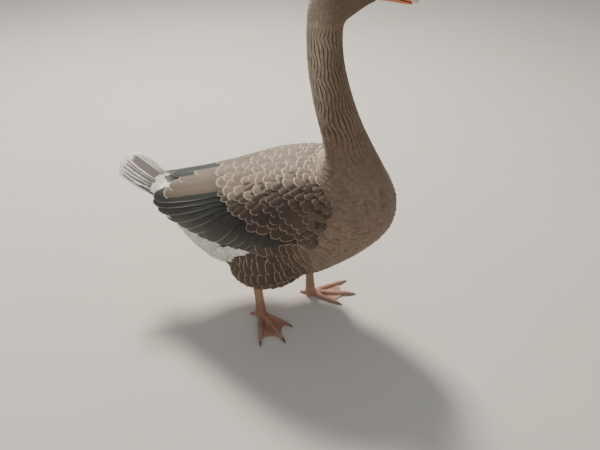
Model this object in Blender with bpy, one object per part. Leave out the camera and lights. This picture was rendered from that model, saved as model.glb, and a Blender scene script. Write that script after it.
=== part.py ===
"""A grey domestic goose, standing with its neck upright, as a still life-size model.

The bird faces +X, its left is +Y and +Z is up. Its feet stand on Z = 0, and the
origin is under the middle of its bounding box. Lengths are in metres.

The body is one loft from the tail's root to the bill's root. Each station of that
loft is a plane section held between a point of the back line and a point of the
belly line, so the planes swing from upright in the trunk to level in the neck and
back to upright in the face. The loft is parted into nodes by thin gaps. The folded
wings are shells over the flanks and the tail is a fan, both trimmed to the loft.
"""

import math

import bmesh
import bpy
from mathutils import Matrix, Vector

GAP = 0.0003  # the space kept between pieces that touch
TRIM_GAP = 0.0005  # the same, where a piece is trimmed to the body

# The middle of the bounding box: along the bird and across it, before it is centred.
BOX_MIDDLE_X = -0.0825
BOX_MIDDLE_Y = -0.0053

# ---- Body ------------------------------------------------------------------

RING = 22  # points round a body section
STEPS_PER_KEY = 2  # sections between two key stations

# Key stations of the body: back line (x, z), belly line (x, z), half-width.
BODY_KEYS = (
    ((-0.300, 0.268), (-0.294, 0.240), 0.040),
    ((-0.262, 0.276), (-0.250, 0.200), 0.055),
    ((-0.212, 0.289), (-0.203, 0.151), 0.074),
    ((-0.155, 0.318), (-0.143, 0.119), 0.098),
    ((-0.085, 0.347), (-0.070, 0.114), 0.116),
    ((-0.015, 0.374), (0.002, 0.114), 0.125),
    ((0.038, 0.390), (0.066, 0.131), 0.122),
    ((0.066, 0.399), (0.121, 0.168), 0.110),
    ((0.075, 0.407), (0.170, 0.211), 0.097),
    ((0.074, 0.419), (0.2070, 0.260), 0.0850),
    ((0.067, 0.434), (0.2125, 0.311), 0.0725),
    ((0.058, 0.455), (0.1915, 0.3585), 0.0595),
    ((0.0495, 0.480), (0.165, 0.406), 0.0495),
    ((0.0430, 0.506), (0.142, 0.449), 0.0425),
    ((0.0375, 0.533), (0.1235, 0.493), 0.0385),
    ((0.0335, 0.561), (0.109, 0.536), 0.0355),
    ((0.0315, 0.590), (0.100, 0.575), 0.0340),
    ((0.0310, 0.618), (0.097, 0.609), 0.0335),
    ((0.0330, 0.645), (0.0985, 0.6285), 0.0335),
    ((0.0390, 0.670), (0.1045, 0.6375), 0.0330),
    ((0.0495, 0.693), (0.1130, 0.6450), 0.0325),
    ((0.0640, 0.7125), (0.1225, 0.6525), 0.0318),
    ((0.0820, 0.7270), (0.1315, 0.6600), 0.0305),
    ((0.1015, 0.7325), (0.1380, 0.6645), 0.0288),
    ((0.1205, 0.7305), (0.1440, 0.6680), 0.0258),
    ((0.1370, 0.7225), (0.1480, 0.6705), 0.0218),
    ((0.1495, 0.7140), (0.1495, 0.6715), 0.0178),
)

# Which key stations each body node runs between.
BODY_NODES = (
    ("rump", 0.0, 2.0),
    ("trunk", 2.0, 6.0),
    ("breast", 6.0, 10.0),
    ("neck_lower", 10.0, 13.0),
    ("neck_middle", 13.0, 15.6),
    ("neck_upper", 15.6, 18.0),
    ("head", 18.0, 26.0),
)

# ---- Bill and eyes -----------------------------------------------------------

BILL_RING = 20
# Top (x, z), bottom (x, z), half-width.
UPPER_BILL_KEYS = (
    ((0.1500, 0.7125), (0.1500, 0.6855), 0.0160),
    ((0.1600, 0.7080), (0.1600, 0.6838), 0.0152),
    ((0.1735, 0.7005), (0.1735, 0.6812), 0.0143),
    ((0.1870, 0.6942), (0.1870, 0.6784), 0.0138),
    ((0.1990, 0.6893), (0.1990, 0.6757), 0.0130),
    ((0.2080, 0.6858), (0.2085, 0.6735), 0.0106),
    ((0.2145, 0.6795), (0.2148, 0.6722), 0.0058),
)
NAIL_FROM = 4.55  # key station of the upper bill where the nail starts
LOWER_BILL_KEYS = (
    ((0.1500, 0.6850), (0.1500, 0.6725), 0.0138),
    ((0.1640, 0.6825), (0.1640, 0.6722), 0.0126),
    ((0.1800, 0.6794), (0.1800, 0.6712), 0.0115),
    ((0.1950, 0.6761), (0.1950, 0.6700), 0.0102),
    ((0.2060, 0.6736), (0.2060, 0.6695), 0.0070),
)
UPPER_WAIST, LOWER_WAIST = 0.16, 0.84  # height of the widest line, as a share
EYE_RADIUS = 0.0078
EYE_CENTRE = Vector((0.1230, 0.0196, 0.7090))

# ---- Wings -------------------------------------------------------------------

# The shell that the closed wings lie in: x, half-width, middle z, height above it.
WING_SHELL_KEYS = (
    (0.175, 0.080, 0.275, 0.085),
    (0.130, 0.106, 0.275, 0.108),
    (0.085, 0.124, 0.277, 0.116),
    (0.030, 0.135, 0.277, 0.114),
    (-0.040, 0.135, 0.267, 0.106),
    (-0.110, 0.123, 0.250, 0.094),
    (-0.170, 0.102, 0.238, 0.082),
    (-0.225, 0.079, 0.232, 0.070),
    (-0.275, 0.061, 0.231, 0.054),
    (-0.325, 0.041, 0.234, 0.040),
)
# Angles of the closed primaries' upper and lower edges at their tips.
PRIMARY_TIP = {"right": (58.0, 97.0), "left": (14.0, 50.0)}

# ---- Tail --------------------------------------------------------------------

TAIL_ROOT = Vector((-0.250, 0.0, 0.241))
TAIL_LENGTH = 0.151
TAIL_ROOT_HALF, TAIL_TIP_HALF = 0.037, 0.048  # half-widths of the spread tail
TAIL_RISE = math.radians(31)
TAIL_ARCH = 0.015  # how much lower the outer feathers lie
TAIL_FEATHERS = 16
TAIL_SCALLOP = 0.006

# ---- Legs --------------------------------------------------------------------

STANCE_X = -0.013  # the feet stand round this place, along the bird
STRIDE = 0.039  # the left foot is this far ahead of it, and the right as far behind
ANKLE_SPACING = 0.053  # from the bird's middle line to each ankle
ANKLE_HEIGHT = 0.0135
TOE_OUT = {"right": math.radians(37), "left": math.radians(17)}
HOCK_SET_BACK = 0.006  # the hock is this far behind its ankle
HOCK_Y, HOCK_Z = 0.056, 0.104
# Upper leg: x, half-spacing, height, radius along the bird, radius across.
THIGH_KEYS = (
    (-0.018, 0.058, 0.232, 0.052, 0.044),
    (-0.018, 0.067, 0.184, 0.076, 0.052),
    (-0.022, 0.070, 0.146, 0.079, 0.049),
    (-0.026, 0.067, 0.121, 0.061, 0.040),
    (-0.030, 0.062, 0.109, 0.036, 0.026),
    (-0.034, 0.058, 0.1045, 0.016, 0.0140),
)
THIGH_FOLLOWS = 3.0  # how late down the upper leg it bends towards its hock
SHANK_SIDES = 12
# Share of the way down from hock to ankle, half-depth along the bird, half-width.
SHANK_KEYS = (
    (0.00, 0.0132, 0.0112),
    (0.12, 0.0138, 0.0112),
    (0.30, 0.0108, 0.0086),
    (0.60, 0.0096, 0.0080),
    (0.85, 0.0102, 0.0090),
    (1.00, 0.0112, 0.0102),
)
# Front toes: name, angle from the foot's middle line, length, root radius.
TOES = (
    ("inner", -27.0, 0.072, 0.0066),
    ("middle", 1.0, 0.095, 0.0072),
    ("outer", 31.0, 0.089, 0.0066),
)
TOE_TIP_SHARE = 0.62  # tip radius over root radius
WEB_THICKNESS = 0.0026
WEB_REACH = 0.90  # how far along the toes the web is joined
WEB_HOLLOW = 0.13  # how far the web's front edge falls back between them
HIND_TOE_LENGTH = 0.024
HIND_TOE_RADIUS = 0.0046
HIND_TOE_ANGLE = math.radians(158)
CLAW_LENGTH = 0.0105


def mix(a, b, share):
    """The value a share of the way from a to b."""
    return a + (b - a) * share


def ease(low, high, value):
    """0 below low, 1 above high, and a smooth rise between."""
    share = min(max((value - low) / (high - low), 0.0), 1.0)
    return share * share * (3.0 - 2.0 * share)


def flat(key):
    """A key station as one tuple of numbers."""
    numbers = []
    for item in key:
        numbers.extend(item if isinstance(item, tuple) else (item,))
    return numbers


def through(keys, at):
    """The smooth curve through the keys, read at a fractional key number."""
    rows = [flat(key) for key in keys]
    last = len(rows) - 1
    start = min(max(int(math.floor(at)), 0), last - 1)
    u = at - start
    p0 = rows[max(start - 1, 0)]
    p1, p2 = rows[start], rows[start + 1]
    p3 = rows[min(start + 2, last)]
    return [
        0.5
        * (
            2 * b
            + (c - a) * u
            + (2 * a - 5 * b + 4 * c - d) * u * u
            + (3 * b - a - 3 * c + d) * u**3
        )
        for a, b, c, d in zip(p0, p1, p2, p3)
    ]


def section(keys, at, ring, grow=0.0, waist=0.5):
    """Points round one section of a loft, and the section's forward normal."""
    top_x, top_z, low_x, low_z, width = through(keys, at)
    top, low = Vector((top_x, 0, top_z)), Vector((low_x, 0, low_z))
    middle, up = low.lerp(top, waist), (top - low).normalized()
    above, below = (top - middle).length + grow, (middle - low).length + grow
    side = Vector((0, width + grow, 0))
    points = []
    for k in range(ring):
        turn = 2 * math.pi * k / ring
        reach = above if math.cos(turn) > 0 else below
        points.append(middle + up * reach * math.cos(turn) + side * math.sin(turn))
    return points, side.cross(up).normalized()


def stations(start, end):
    """Fractional key numbers from start to end, evenly spaced."""
    count = max(1, round((end - start) * STEPS_PER_KEY))
    return [mix(start, end, k / count) for k in range(count + 1)]


def body_rings(start, end, grow=0.0, gap=0.0):
    """Rings of the body from one key station to another."""
    marks = stations(start, end)
    rings = []
    for at in marks:
        points, normal = section(BODY_KEYS, at, RING, grow)
        if at == marks[0]:
            points = [p + normal * (gap / 2 - grow) for p in points]
        if at == marks[-1]:
            points = [p + normal * (grow - gap / 2) for p in points]
        rings.append(points)
    return rings


def material(name, colour, roughness):
    """A plain finish, made once."""
    made = bpy.data.materials.get(name)
    if made is None:
        made = bpy.data.materials.new(name)
        made.use_nodes = True
        shader = made.node_tree.nodes["Principled BSDF"]
        shader.inputs["Base Color"].default_value = (*colour, 1.0)
        shader.inputs["Roughness"].default_value = roughness
        shader.inputs["Metallic"].default_value = 0.0
    return made


def finish_of(name):
    """The finish named here, with its colour and roughness."""
    colour, roughness = {
        "grey_plumage": ((0.16, 0.12, 0.09), 0.85),
        "neck_plumage": ((0.13, 0.10, 0.075), 0.85),
        "wing_plumage": ((0.10, 0.085, 0.07), 0.75),
        "white_plumage": ((0.62, 0.58, 0.50), 0.85),
        "bill_orange": ((0.62, 0.25, 0.08), 0.45),
        "nail_horn": ((0.62, 0.55, 0.46), 0.40),
        "leg_skin": ((0.55, 0.26, 0.15), 0.60),
        "claw_horn": ((0.10, 0.08, 0.07), 0.45),
        "eye_brown": ((0.05, 0.025, 0.012), 0.10),
    }[name]
    return material(name, colour, roughness)


def add_object(name, mesh, finish):
    """An object with one finish, placed in the scene."""
    mesh.materials.append(finish_of(finish))
    obj = bpy.data.objects.new(name, mesh)
    bpy.context.scene.collection.objects.link(obj)
    return obj


def solid_from_rings(name, rings, finish):
    """A closed loft: quads between the rings and a flat cap at each end."""
    bm = bmesh.new()
    rows = [[bm.verts.new(p) for p in ring] for ring in rings]
    count = len(rows[0])
    for back, front in zip(rows, rows[1:]):
        for k in range(count):
            after = (k + 1) % count
            bm.faces.new((back[k], back[after], front[after], front[k]))
    bm.faces.new(rows[0][::-1])
    bm.faces.new(rows[-1])
    return closed_object(name, bm, finish)


def closed_object(name, bm, finish):
    """The object made from a closed bmesh, with its faces turned outwards."""
    bmesh.ops.recalc_face_normals(bm, faces=bm.faces)
    mesh = bpy.data.meshes.new(name)
    bm.to_mesh(mesh)
    bm.free()
    mesh.shade_smooth()
    mesh.set_sharp_from_angle(angle=math.radians(40))
    return add_object(name, mesh, finish)


def hide_cutter(obj):
    """Keeps a helper out of the render and the build."""
    obj.hide_render = True
    obj.display_type = "WIRE"
    return obj


def combine(obj, other, operation):
    """Adds an exact Boolean with a helper to an object."""
    step = obj.modifiers.new(f"{operation.lower()}_{other.name}", "BOOLEAN")
    step.operation = operation
    step.solver = "EXACT"
    step.object = hide_cutter(other)


def make_body():
    """The body's nodes, and the swollen copy that other pieces are trimmed to."""
    last = len(BODY_KEYS) - 1
    trim = solid_from_rings("body_trim", body_rings(0, last, grow=TRIM_GAP), "leg_skin")
    finishes = {"rump": "white_plumage", "trunk": "grey_plumage", "breast": "grey_plumage"}
    nodes = {}
    for name, start, end in BODY_NODES:
        finish = finishes.get(name, "neck_plumage")
        nodes[name] = solid_from_rings(name, body_rings(start, end, gap=GAP), finish)
    return nodes, hide_cutter(trim)


def bill_rings(keys, waist, start, end, per_key=2):
    """Rings of a bill half between two of its key stations."""
    count = max(1, round((end - start) * per_key))
    rings = []
    for k in range(count + 1):
        points, _ = section(keys, mix(start, end, k / count), BILL_RING, waist=waist)
        rings.append(points)
    return rings


def make_bill():
    """The upper and lower bill and the nail at the tip."""
    last_upper, last_lower = len(UPPER_BILL_KEYS) - 1, len(LOWER_BILL_KEYS) - 1
    nail_gap = 0.02  # in key stations, about a sixth of a millimetre
    upper = bill_rings(UPPER_BILL_KEYS, UPPER_WAIST, 0, NAIL_FROM - nail_gap)
    nail = bill_rings(UPPER_BILL_KEYS, UPPER_WAIST, NAIL_FROM + nail_gap, last_upper)
    lower = bill_rings(LOWER_BILL_KEYS, LOWER_WAIST, 0, last_lower)
    solid_from_rings("bill_upper", upper, "bill_orange")
    solid_from_rings("bill_nail", nail, "nail_horn")
    solid_from_rings("bill_lower", lower, "bill_orange")


def ball(name, centre, radius, finish, segments=16, rings=10):
    """A closed sphere."""
    bm = bmesh.new()
    bmesh.ops.create_uvsphere(bm, u_segments=segments, v_segments=rings, radius=radius)
    bmesh.ops.translate(bm, verts=bm.verts, vec=centre)
    return closed_object(name, bm, finish)


def make_eyes(head):
    """Both eyeballs, each in a socket of the head."""
    for name, side in (("eye_right", -1), ("eye_left", 1)):
        centre = Vector((EYE_CENTRE.x, side * EYE_CENTRE.y, EYE_CENTRE.z))
        socket = ball(f"{name}_socket", centre, EYE_RADIUS + 3 * GAP, "eye_brown", 12, 8)
        combine(head, socket, "DIFFERENCE")
        ball(name, centre, EYE_RADIUS, "eye_brown")


def shell_point(x, angle, depth=0.0):
    """A point of the wing shell: angle from the top towards the side, depth inwards."""
    xs = [key[0] for key in WING_SHELL_KEYS]
    at = next((k for k in range(len(xs) - 1) if xs[k + 1] <= x), len(xs) - 2)
    at += min(max((xs[at] - x) / (xs[at] - xs[at + 1]), 0.0), 1.0)
    _, half_width, middle, height = through(WING_SHELL_KEYS, at)
    across, up = half_width - depth, height - depth
    turn = math.radians(angle)
    return Vector((x, across * math.sin(turn), middle + up * math.cos(turn)))


def wing_patch(name, side, edges, depths, finish, trim, steps=(7, 6), grow=0.0):
    """A piece of closed wing: a slab of the shell between four edge curves.

    edges(u, v) gives x and angle for shares u (front to rear) and v (top to bottom),
    and depths gives how deep the outer and inner faces lie. grow swells the slab on
    all sides.
    """
    spill = grow / 0.1  # the slab's edges are about a tenth of a metre long
    bm = bmesh.new()
    across, along = steps[1], steps[0]
    faces = []
    for depth_of, swell in zip(depths, (-grow, grow)):
        grid = []
        for i in range(along + 1):
            row = []
            for j in range(across + 1):
                u, v = i / along, j / across
                x, angle = edges(mix(-spill, 1 + spill, u), mix(-spill, 1 + spill, v))
                point = shell_point(x, angle, depth_of(u, v) + swell)
                point.y *= side
                row.append(bm.verts.new(point))
            grid.append(row)
        faces.append(grid)
    outer, inner = faces
    for i in range(along):
        for j in range(across):
            for grid in faces:
                bm.faces.new((grid[i][j], grid[i + 1][j], grid[i + 1][j + 1], grid[i][j + 1]))
    rim = [(i, 0) for i in range(along)]
    rim += [(along, j) for j in range(across)]
    rim += [(i, across) for i in range(along, 0, -1)]
    rim += [(0, j) for j in range(across, 0, -1)]
    for (i, j), (m, n) in zip(rim, rim[1:] + rim[:1]):
        bm.faces.new((outer[i][j], outer[m][n], inner[m][n], inner[i][j]))
    obj = closed_object(name, bm, finish)
    if trim is not None:
        combine(obj, trim, "DIFFERENCE")
    return obj


def bulge(v):
    """0 at both ends of a row and 1 in its middle, as a rounded rear edge."""
    return math.sin(math.pi * min(max(v, 0.0), 1.0)) ** 0.7


def scapular_edges(u, v):
    """Shoulder feathers: over the top of the wing, from the shoulder to mid-back."""
    x = mix(0.080 - 0.015 * v, -0.165 + 0.065 * max(v, 0.0) ** 1.5 - 0.010 * bulge(v), u)
    return x, mix(mix(0.5, 0.8, u), mix(46.0, 55.0, u), v)


def tertial_edges(u, v):
    """Long inner feathers, which cover the folded flight feathers."""
    front = -0.165 + 0.065 * max(v, 0.0) ** 1.5 - 0.010 * bulge(v) - 0.0012
    x = mix(front, -0.262 - 0.016 * bulge(v), u)
    return x, mix(mix(0.8, 2.5, u), mix(55.0, 52.0, u), v)


def covert_edges(u, v):
    """The wing's front half, from the wrist, with its rows of small feathers."""
    x = mix(0.145 - 0.055 * (1 - v) ** 2 - 0.035 * v**3, -0.078 + 0.058 * v, u)
    top = mix(46.6, 54.6, u)
    return x, mix(top, mix(108.0, 122.0, ease(0.0, 0.8, u)), v)


def secondary_edges(u, v):
    """The closed fan of flight feathers behind the coverts."""
    front = -0.078 + 0.058 * v - 0.0012
    x = mix(front, mix(-0.140, -0.165, v) - 0.010 * bulge(v), u)
    return x, mix(mix(55.4, 55.6, u), mix(122.0, 108.0, ease(0.3, 1.0, u)), v)


def primary_edges(side):
    """The long outer flight feathers, which end over the tail, on one side."""
    tip_top, tip_low = PRIMARY_TIP["left" if side > 0 else "right"]

    def edges(u, v):
        front = mix(-0.140, -0.165, v) - 0.010 * bulge(v) - 0.0012
        x = mix(front, -0.288 - 0.012 * bulge(v), u)
        return x, mix(mix(56.0, tip_top, u), mix(108.0, tip_low, u), v)

    return edges


def thick(outer, inner_front, inner_rear, sunk=0.0):
    """Depths of a slab's outer and inner faces; sunk buries its front edge."""
    return (
        lambda u, v: outer + sunk * (1 - ease(0.0, 0.3, u)),
        lambda u, v: mix(inner_front, inner_rear, u),
    )


def make_wings(trim):
    """Both closed wings, each in five pieces, and the shapes that the tail clears."""
    clear_of = []
    for label, side in (("right", -1), ("left", 1)):
        wing_patch(f"scapulars_{label}", side, scapular_edges, thick(0.0, 0.030, 0.012, 0.010),
                   "grey_plumage", trim)
        wing_patch(f"tertials_{label}", side, tertial_edges, thick(0.0, 0.0032, 0.0028),
                   "grey_plumage", trim, (6, 5))
        wing_patch(f"wing_coverts_{label}", side, covert_edges, thick(0.001, 0.036, 0.022, 0.014),
                   "wing_plumage", trim)
        wing_patch(f"secondaries_{label}", side, secondary_edges, thick(0.001, 0.022, 0.006),
                   "wing_plumage", trim, (6, 6))
        primaries = (side, primary_edges(side), thick(0.0035, 0.012, 0.0062), "wing_plumage")
        wing_patch(f"primaries_{label}", *primaries, trim, (6, 5))
        swollen = wing_patch(f"primaries_trim_{label}", *primaries, None, (6, 5), 0.0006)
        clear_of.append(hide_cutter(swollen))
    return clear_of


def tail_point(share, reach, lift):
    """A point of the tail: share across from -1 to 1, reach from the root, lift."""
    part = reach / TAIL_LENGTH
    rise = lift - TAIL_ARCH * share * share * (0.4 + 0.6 * part)
    back, up = math.cos(TAIL_RISE), math.sin(TAIL_RISE)
    return TAIL_ROOT + Vector((
        -reach * back + rise * up,
        share * mix(TAIL_ROOT_HALF, TAIL_TIP_HALF, part),
        reach * up + rise * back,
    ))


def make_tail(trims):
    """The spread tail feathers, scalloped at the tips, clear of body and wings."""
    bm = bmesh.new()
    columns = TAIL_FEATHERS * 2
    reaches = (0.28, 0.60, 0.90, 1.0)
    faces = []
    for side in (1, -1):
        grid = []
        for reach in reaches:
            row = []
            for k in range(columns + 1):
                share = 2 * k / columns - 1
                length = TAIL_LENGTH * (1 - 0.12 * abs(share) ** 2.2)
                if reach == 1.0:
                    length -= TAIL_SCALLOP * abs(math.cos(math.pi * k / 2))
                half = mix(0.0022, 0.0008, reach)
                row.append(bm.verts.new(tail_point(share, length * reach, side * half)))
            grid.append(row)
        faces.append(grid)
    top, under = faces
    for i in range(len(reaches) - 1):
        for j in range(columns):
            for grid in faces:
                bm.faces.new((grid[i][j], grid[i + 1][j], grid[i + 1][j + 1], grid[i][j + 1]))
    last = len(reaches) - 1
    rim = [(i, 0) for i in range(last)]
    rim += [(last, j) for j in range(columns)]
    rim += [(i, columns) for i in range(last, 0, -1)]
    rim += [(0, j) for j in range(columns, 0, -1)]
    for (i, j), (m, n) in zip(rim, rim[1:] + rim[:1]):
        bm.faces.new((top[i][j], top[m][n], under[m][n], under[i][j]))
    cutters = bpy.data.collections.new("tail_clearance")
    for trim in trims:
        cutters.objects.link(trim)
    step = closed_object("tail_feathers", bm, "white_plumage").modifiers.new("cut", "BOOLEAN")
    step.operation = "DIFFERENCE"
    step.solver = "EXACT"
    step.operand_type = "COLLECTION"
    step.collection = cutters


def tube_rings(path, sides):
    """Rings square to a path of (centre, half-depth, half-width, lean direction)."""
    rings = []
    for k, (centre, depth, width) in enumerate(path):
        before, after = path[max(k - 1, 0)][0], path[min(k + 1, len(path) - 1)][0]
        along = (after - before).normalized()
        across = Vector((0, 1, 0))
        fore = along.cross(across).normalized()
        across = fore.cross(along).normalized()
        rings.append([
            centre
            + fore * depth * math.cos(2 * math.pi * n / sides)
            + across * width * math.sin(2 * math.pi * n / sides)
            for n in range(sides)
        ])
    return rings


def leg_points(side):
    """Hock and ankle of one leg."""
    x = STANCE_X + side * STRIDE
    hock = Vector((x - HOCK_SET_BACK, side * HOCK_Y, HOCK_Z))
    ankle = Vector((x, side * ANKLE_SPACING, ANKLE_HEIGHT))
    return hock, ankle


def make_thigh(label, side, trim):
    """The feathered upper leg below the flank, which hides the hock."""
    hock, _ = leg_points(side)
    last = THIGH_KEYS[-1]
    rings = []
    for x, spacing, height, fore, across in THIGH_KEYS:
        share = (THIGH_KEYS[0][2] - height) / (THIGH_KEYS[0][2] - last[2])
        x += (hock.x - last[0]) * share**THIGH_FOLLOWS
        rings.append([
            Vector((x + fore * math.cos(turn), side * spacing + across * math.sin(turn), height))
            for turn in (2 * math.pi * k / 16 for k in range(16))
        ])
    thigh = solid_from_rings(f"thigh_{label}", rings, "grey_plumage")
    combine(thigh, trim, "DIFFERENCE")


def make_shank(label, side):
    """The bare shank, from the hock's knob to the ankle."""
    hock, ankle = leg_points(side)
    top, foot_top = hock + Vector((0, 0, 0.0002)), ankle + Vector((0, 0, 0.0095))
    path = [(top.lerp(foot_top, share), depth, width) for share, depth, width in SHANK_KEYS]
    rings = tube_rings(path, SHANK_SIDES)
    rings[0] = [Vector((p.x, p.y, top.z)) for p in rings[0]]
    rings[-1] = [Vector((p.x, p.y, foot_top.z)) for p in rings[-1]]
    solid_from_rings(f"shank_{label}", rings, "leg_skin")


def toe_solid(name, root, angle, length, radius, tip_share):
    """One toe: a tapered, flat-bottomed tube that lies on the floor."""
    heading = Vector((math.cos(angle), math.sin(angle), 0))
    across = Vector((-heading.y, heading.x, 0))
    rings = []
    for share in (0.0, 0.3, 0.6, 0.85, 1.0):
        r = radius * mix(1.0, tip_share, share) * (0.8 if share == 1.0 else 1.0)
        middle = Vector((root.x, root.y, 0)) + heading * length * share
        ring = []
        for k in range(10):
            turn = 2 * math.pi * k / 10
            height = r * (0.85 + math.cos(turn))
            ring.append(middle + across * r * math.sin(turn) + Vector((0, 0, max(height, 0.0))))
        rings.append(ring)
    return solid_from_rings(name, rings, "leg_skin")


def web_solid(name, root, heading, side):
    """The web: a thin plate spread between the toes, hollowed along its front edge."""
    bm = bmesh.new()
    outline = [Vector((root.x, root.y, 0)) - Vector((math.cos(heading), math.sin(heading), 0)) * 0.004]
    steps = 6
    for (_, a, length_a, _), (_, b, length_b, _) in zip(TOES, TOES[1:]):
        for k in range(steps + 1):
            share = k / steps
            reach = mix(length_a, length_b, share) * WEB_REACH
            reach *= 1 - WEB_HOLLOW * 4 * share * (1 - share)
            angle = heading + side * math.radians(mix(a, b, share))
            point = Vector((root.x, root.y, 0))
            point += Vector((math.cos(angle), math.sin(angle), 0)) * reach
            if (outline[-1] - point).length > 1e-5:
                outline.append(point)
    bottom = [bm.verts.new(p) for p in outline]
    top = [bm.verts.new(p + Vector((0, 0, WEB_THICKNESS))) for p in outline]
    bm.faces.new(bottom)
    bm.faces.new(top[::-1])
    for k in range(len(outline)):
        after = (k + 1) % len(outline)
        bm.faces.new((bottom[k], top[k], top[after], bottom[after]))
    return closed_object(name, bm, "leg_skin")


def make_foot(label, side):
    """Toes, web and heel of one foot as one solid, and its claws as separate nodes."""
    _, ankle = leg_points(side)
    heading = side * TOE_OUT[label]
    root = Vector((ankle.x, ankle.y, 0))
    heel_path = [
        (root + Vector((0, 0, z)), r, r) for z, r in ((0.0, 0.0105), (0.008, 0.0116),
                                                     (0.016, 0.0116), (ANKLE_HEIGHT + 0.0092, 0.0106))
    ]
    foot = solid_from_rings(
        f"foot_{label}",
        [[c + Vector((math.cos(t), math.sin(t), 0)) * r
          for t in (2 * math.pi * k / SHANK_SIDES for k in range(SHANK_SIDES))]
         for c, r, _ in heel_path],
        "leg_skin",
    )
    for name, angle, length, radius in TOES:
        turn = heading + side * math.radians(angle)
        toe = toe_solid(f"toe_{name}_{label}", root, turn, length, radius, TOE_TIP_SHARE)
        combine(foot, toe, "UNION")
        tip = root + Vector((math.cos(turn), math.sin(turn), 0)) * (length + GAP)
        make_claw(f"claw_{name}_{label}", tip, turn, radius * TOE_TIP_SHARE * 0.62)
    hind = heading + side * HIND_TOE_ANGLE
    toe = toe_solid(f"toe_hind_{label}", root, -hind, HIND_TOE_LENGTH, HIND_TOE_RADIUS, 0.7)
    combine(foot, toe, "UNION")
    combine(foot, web_solid(f"web_{label}", root, heading, side), "UNION")


def make_claw(name, tip, turn, radius):
    """A short blunt claw that starts at a toe's tip and bends to the floor."""
    heading = Vector((math.cos(turn), math.sin(turn), 0))
    across = Vector((-heading.y, heading.x, 0))
    rings = []
    for share in (0.0, 0.35, 0.7, 1.0):
        r = radius * (1 - 0.72 * share)
        height = mix(1.15 * radius, r, share ** 1.5)
        middle = tip + heading * CLAW_LENGTH * share + Vector((0, 0, height))
        rings.append([
            middle + across * r * math.sin(2 * math.pi * k / 8)
            + Vector((0, 0, max(r * math.cos(2 * math.pi * k / 8), -height)))
            for k in range(8)
        ])
    solid_from_rings(name, rings, "claw_horn")


def centre_on_box():
    """Moves every object so that the origin is under the bounding box's middle."""
    for obj in bpy.data.objects:
        obj.location.x -= BOX_MIDDLE_X
        obj.location.y -= BOX_MIDDLE_Y


def main():
    for obj in list(bpy.data.objects):
        bpy.data.objects.remove(obj)
    nodes, trim = make_body()
    make_bill()
    make_eyes(nodes["head"])
    wing_trims = make_wings(trim)
    make_tail([trim, *wing_trims])
    for label, side in (("right", -1), ("left", 1)):
        make_thigh(label, side, trim)
        make_shank(label, side)
        make_foot(label, side)
    centre_on_box()


main()
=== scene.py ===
"""The looks of a life-size standing goose: skin, plumage, bill, eyes and feet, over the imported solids."""

import sys

import logging
import math
from dataclasses import dataclass, field
from enum import Enum, IntEnum

import bmesh
import bpy
import numpy as np
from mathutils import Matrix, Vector
from mathutils.bvhtree import BVHTree


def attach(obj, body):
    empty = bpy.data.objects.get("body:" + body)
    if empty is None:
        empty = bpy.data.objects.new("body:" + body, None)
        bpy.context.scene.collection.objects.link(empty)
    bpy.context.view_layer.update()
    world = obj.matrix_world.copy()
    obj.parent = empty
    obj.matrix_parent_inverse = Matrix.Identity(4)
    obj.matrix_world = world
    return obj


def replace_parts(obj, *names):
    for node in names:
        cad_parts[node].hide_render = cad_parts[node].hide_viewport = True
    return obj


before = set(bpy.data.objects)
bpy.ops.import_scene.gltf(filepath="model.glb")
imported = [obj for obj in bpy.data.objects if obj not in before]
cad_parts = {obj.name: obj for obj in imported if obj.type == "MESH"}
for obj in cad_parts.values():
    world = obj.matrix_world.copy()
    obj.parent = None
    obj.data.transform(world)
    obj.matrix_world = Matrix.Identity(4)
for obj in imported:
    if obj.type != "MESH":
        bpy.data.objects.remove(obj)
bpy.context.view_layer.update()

LOG = logging.getLogger("goose")
STANCE = np.array((0.0825, 0.0053, 0.0))
BODY_MAP = "OFBake"
SEED = 11
BED_DEPTH = 0.8

# Three numbers: a place, a colour or a set of sizes.
Triple = tuple[float, float, float]
Socket = bpy.types.NodeSocket

FLESH = (
    "rump",
    "trunk",
    "breast",
    "neck_lower",
    "neck_middle",
    "neck_upper",
    "head",
    "thigh_left",
    "thigh_right",
)


def both(*parts: str) -> tuple[str, ...]:
    """The names of the left and the right node of each part."""
    return tuple(f"{part}_{side}" for part in parts for side in ("left", "right"))


BACKED = both("wing_coverts", "scapulars", "secondaries")
WINGS = BACKED + both("tertials", "primaries")


class Side(Enum):
    """The two sides of the bird, as the sign of Y."""

    LEFT = 1.0
    RIGHT = -1.0

    @property
    def tag(self) -> str:
        """The side's name in piece names."""
        return self.name.lower()


class Cut(Enum):
    """The outlines that a feather may have."""

    ROUND = "round"
    SMALL = "small"
    TUFT = "tuft"
    LOOSE = "loose"
    LONG = "long"
    BLUNT = "blunt"
    FAN = "fan"


class Region(IntEnum):
    """The regions of the body's plumage, in the order of LAYS."""

    HEAD = 0
    NECK = 1
    BREAST = 2
    MANTLE = 3
    FLANK = 4
    VENT = 5
    RUMP = 6


def linear(red: float, green: float, blue: float) -> np.ndarray:
    """A screen colour of 0 to 255 as the light it stands for.

    Args:
        red: red, 0 to 255.
        green: green, 0 to 255.
        blue: blue, 0 to 255.

    Returns:
        Three linear values, 0 to 1.
    """
    share = np.array((red, green, blue), float) / 255
    return np.where(share <= 0.04045, share / 12.92, ((share + 0.055) / 1.055) ** 2.4)


def ease(low: float, high: float, value: np.ndarray | float) -> np.ndarray | float:
    """A smooth step from 0 at low to 1 at high.

    Args:
        low: where the step starts.
        high: where it ends, which may be below low.
        value: the value or values to place on it.

    Returns:
        The step's height at each value.
    """
    share = np.clip((value - low) / (high - low), 0, 1)
    return share * share * (3 - 2 * share)


def unit(vectors: np.ndarray) -> np.ndarray:
    """Vectors brought to length one, along their last axis."""
    return vectors / np.maximum(np.linalg.norm(vectors, axis=-1, keepdims=True), 1e-12)


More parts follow.
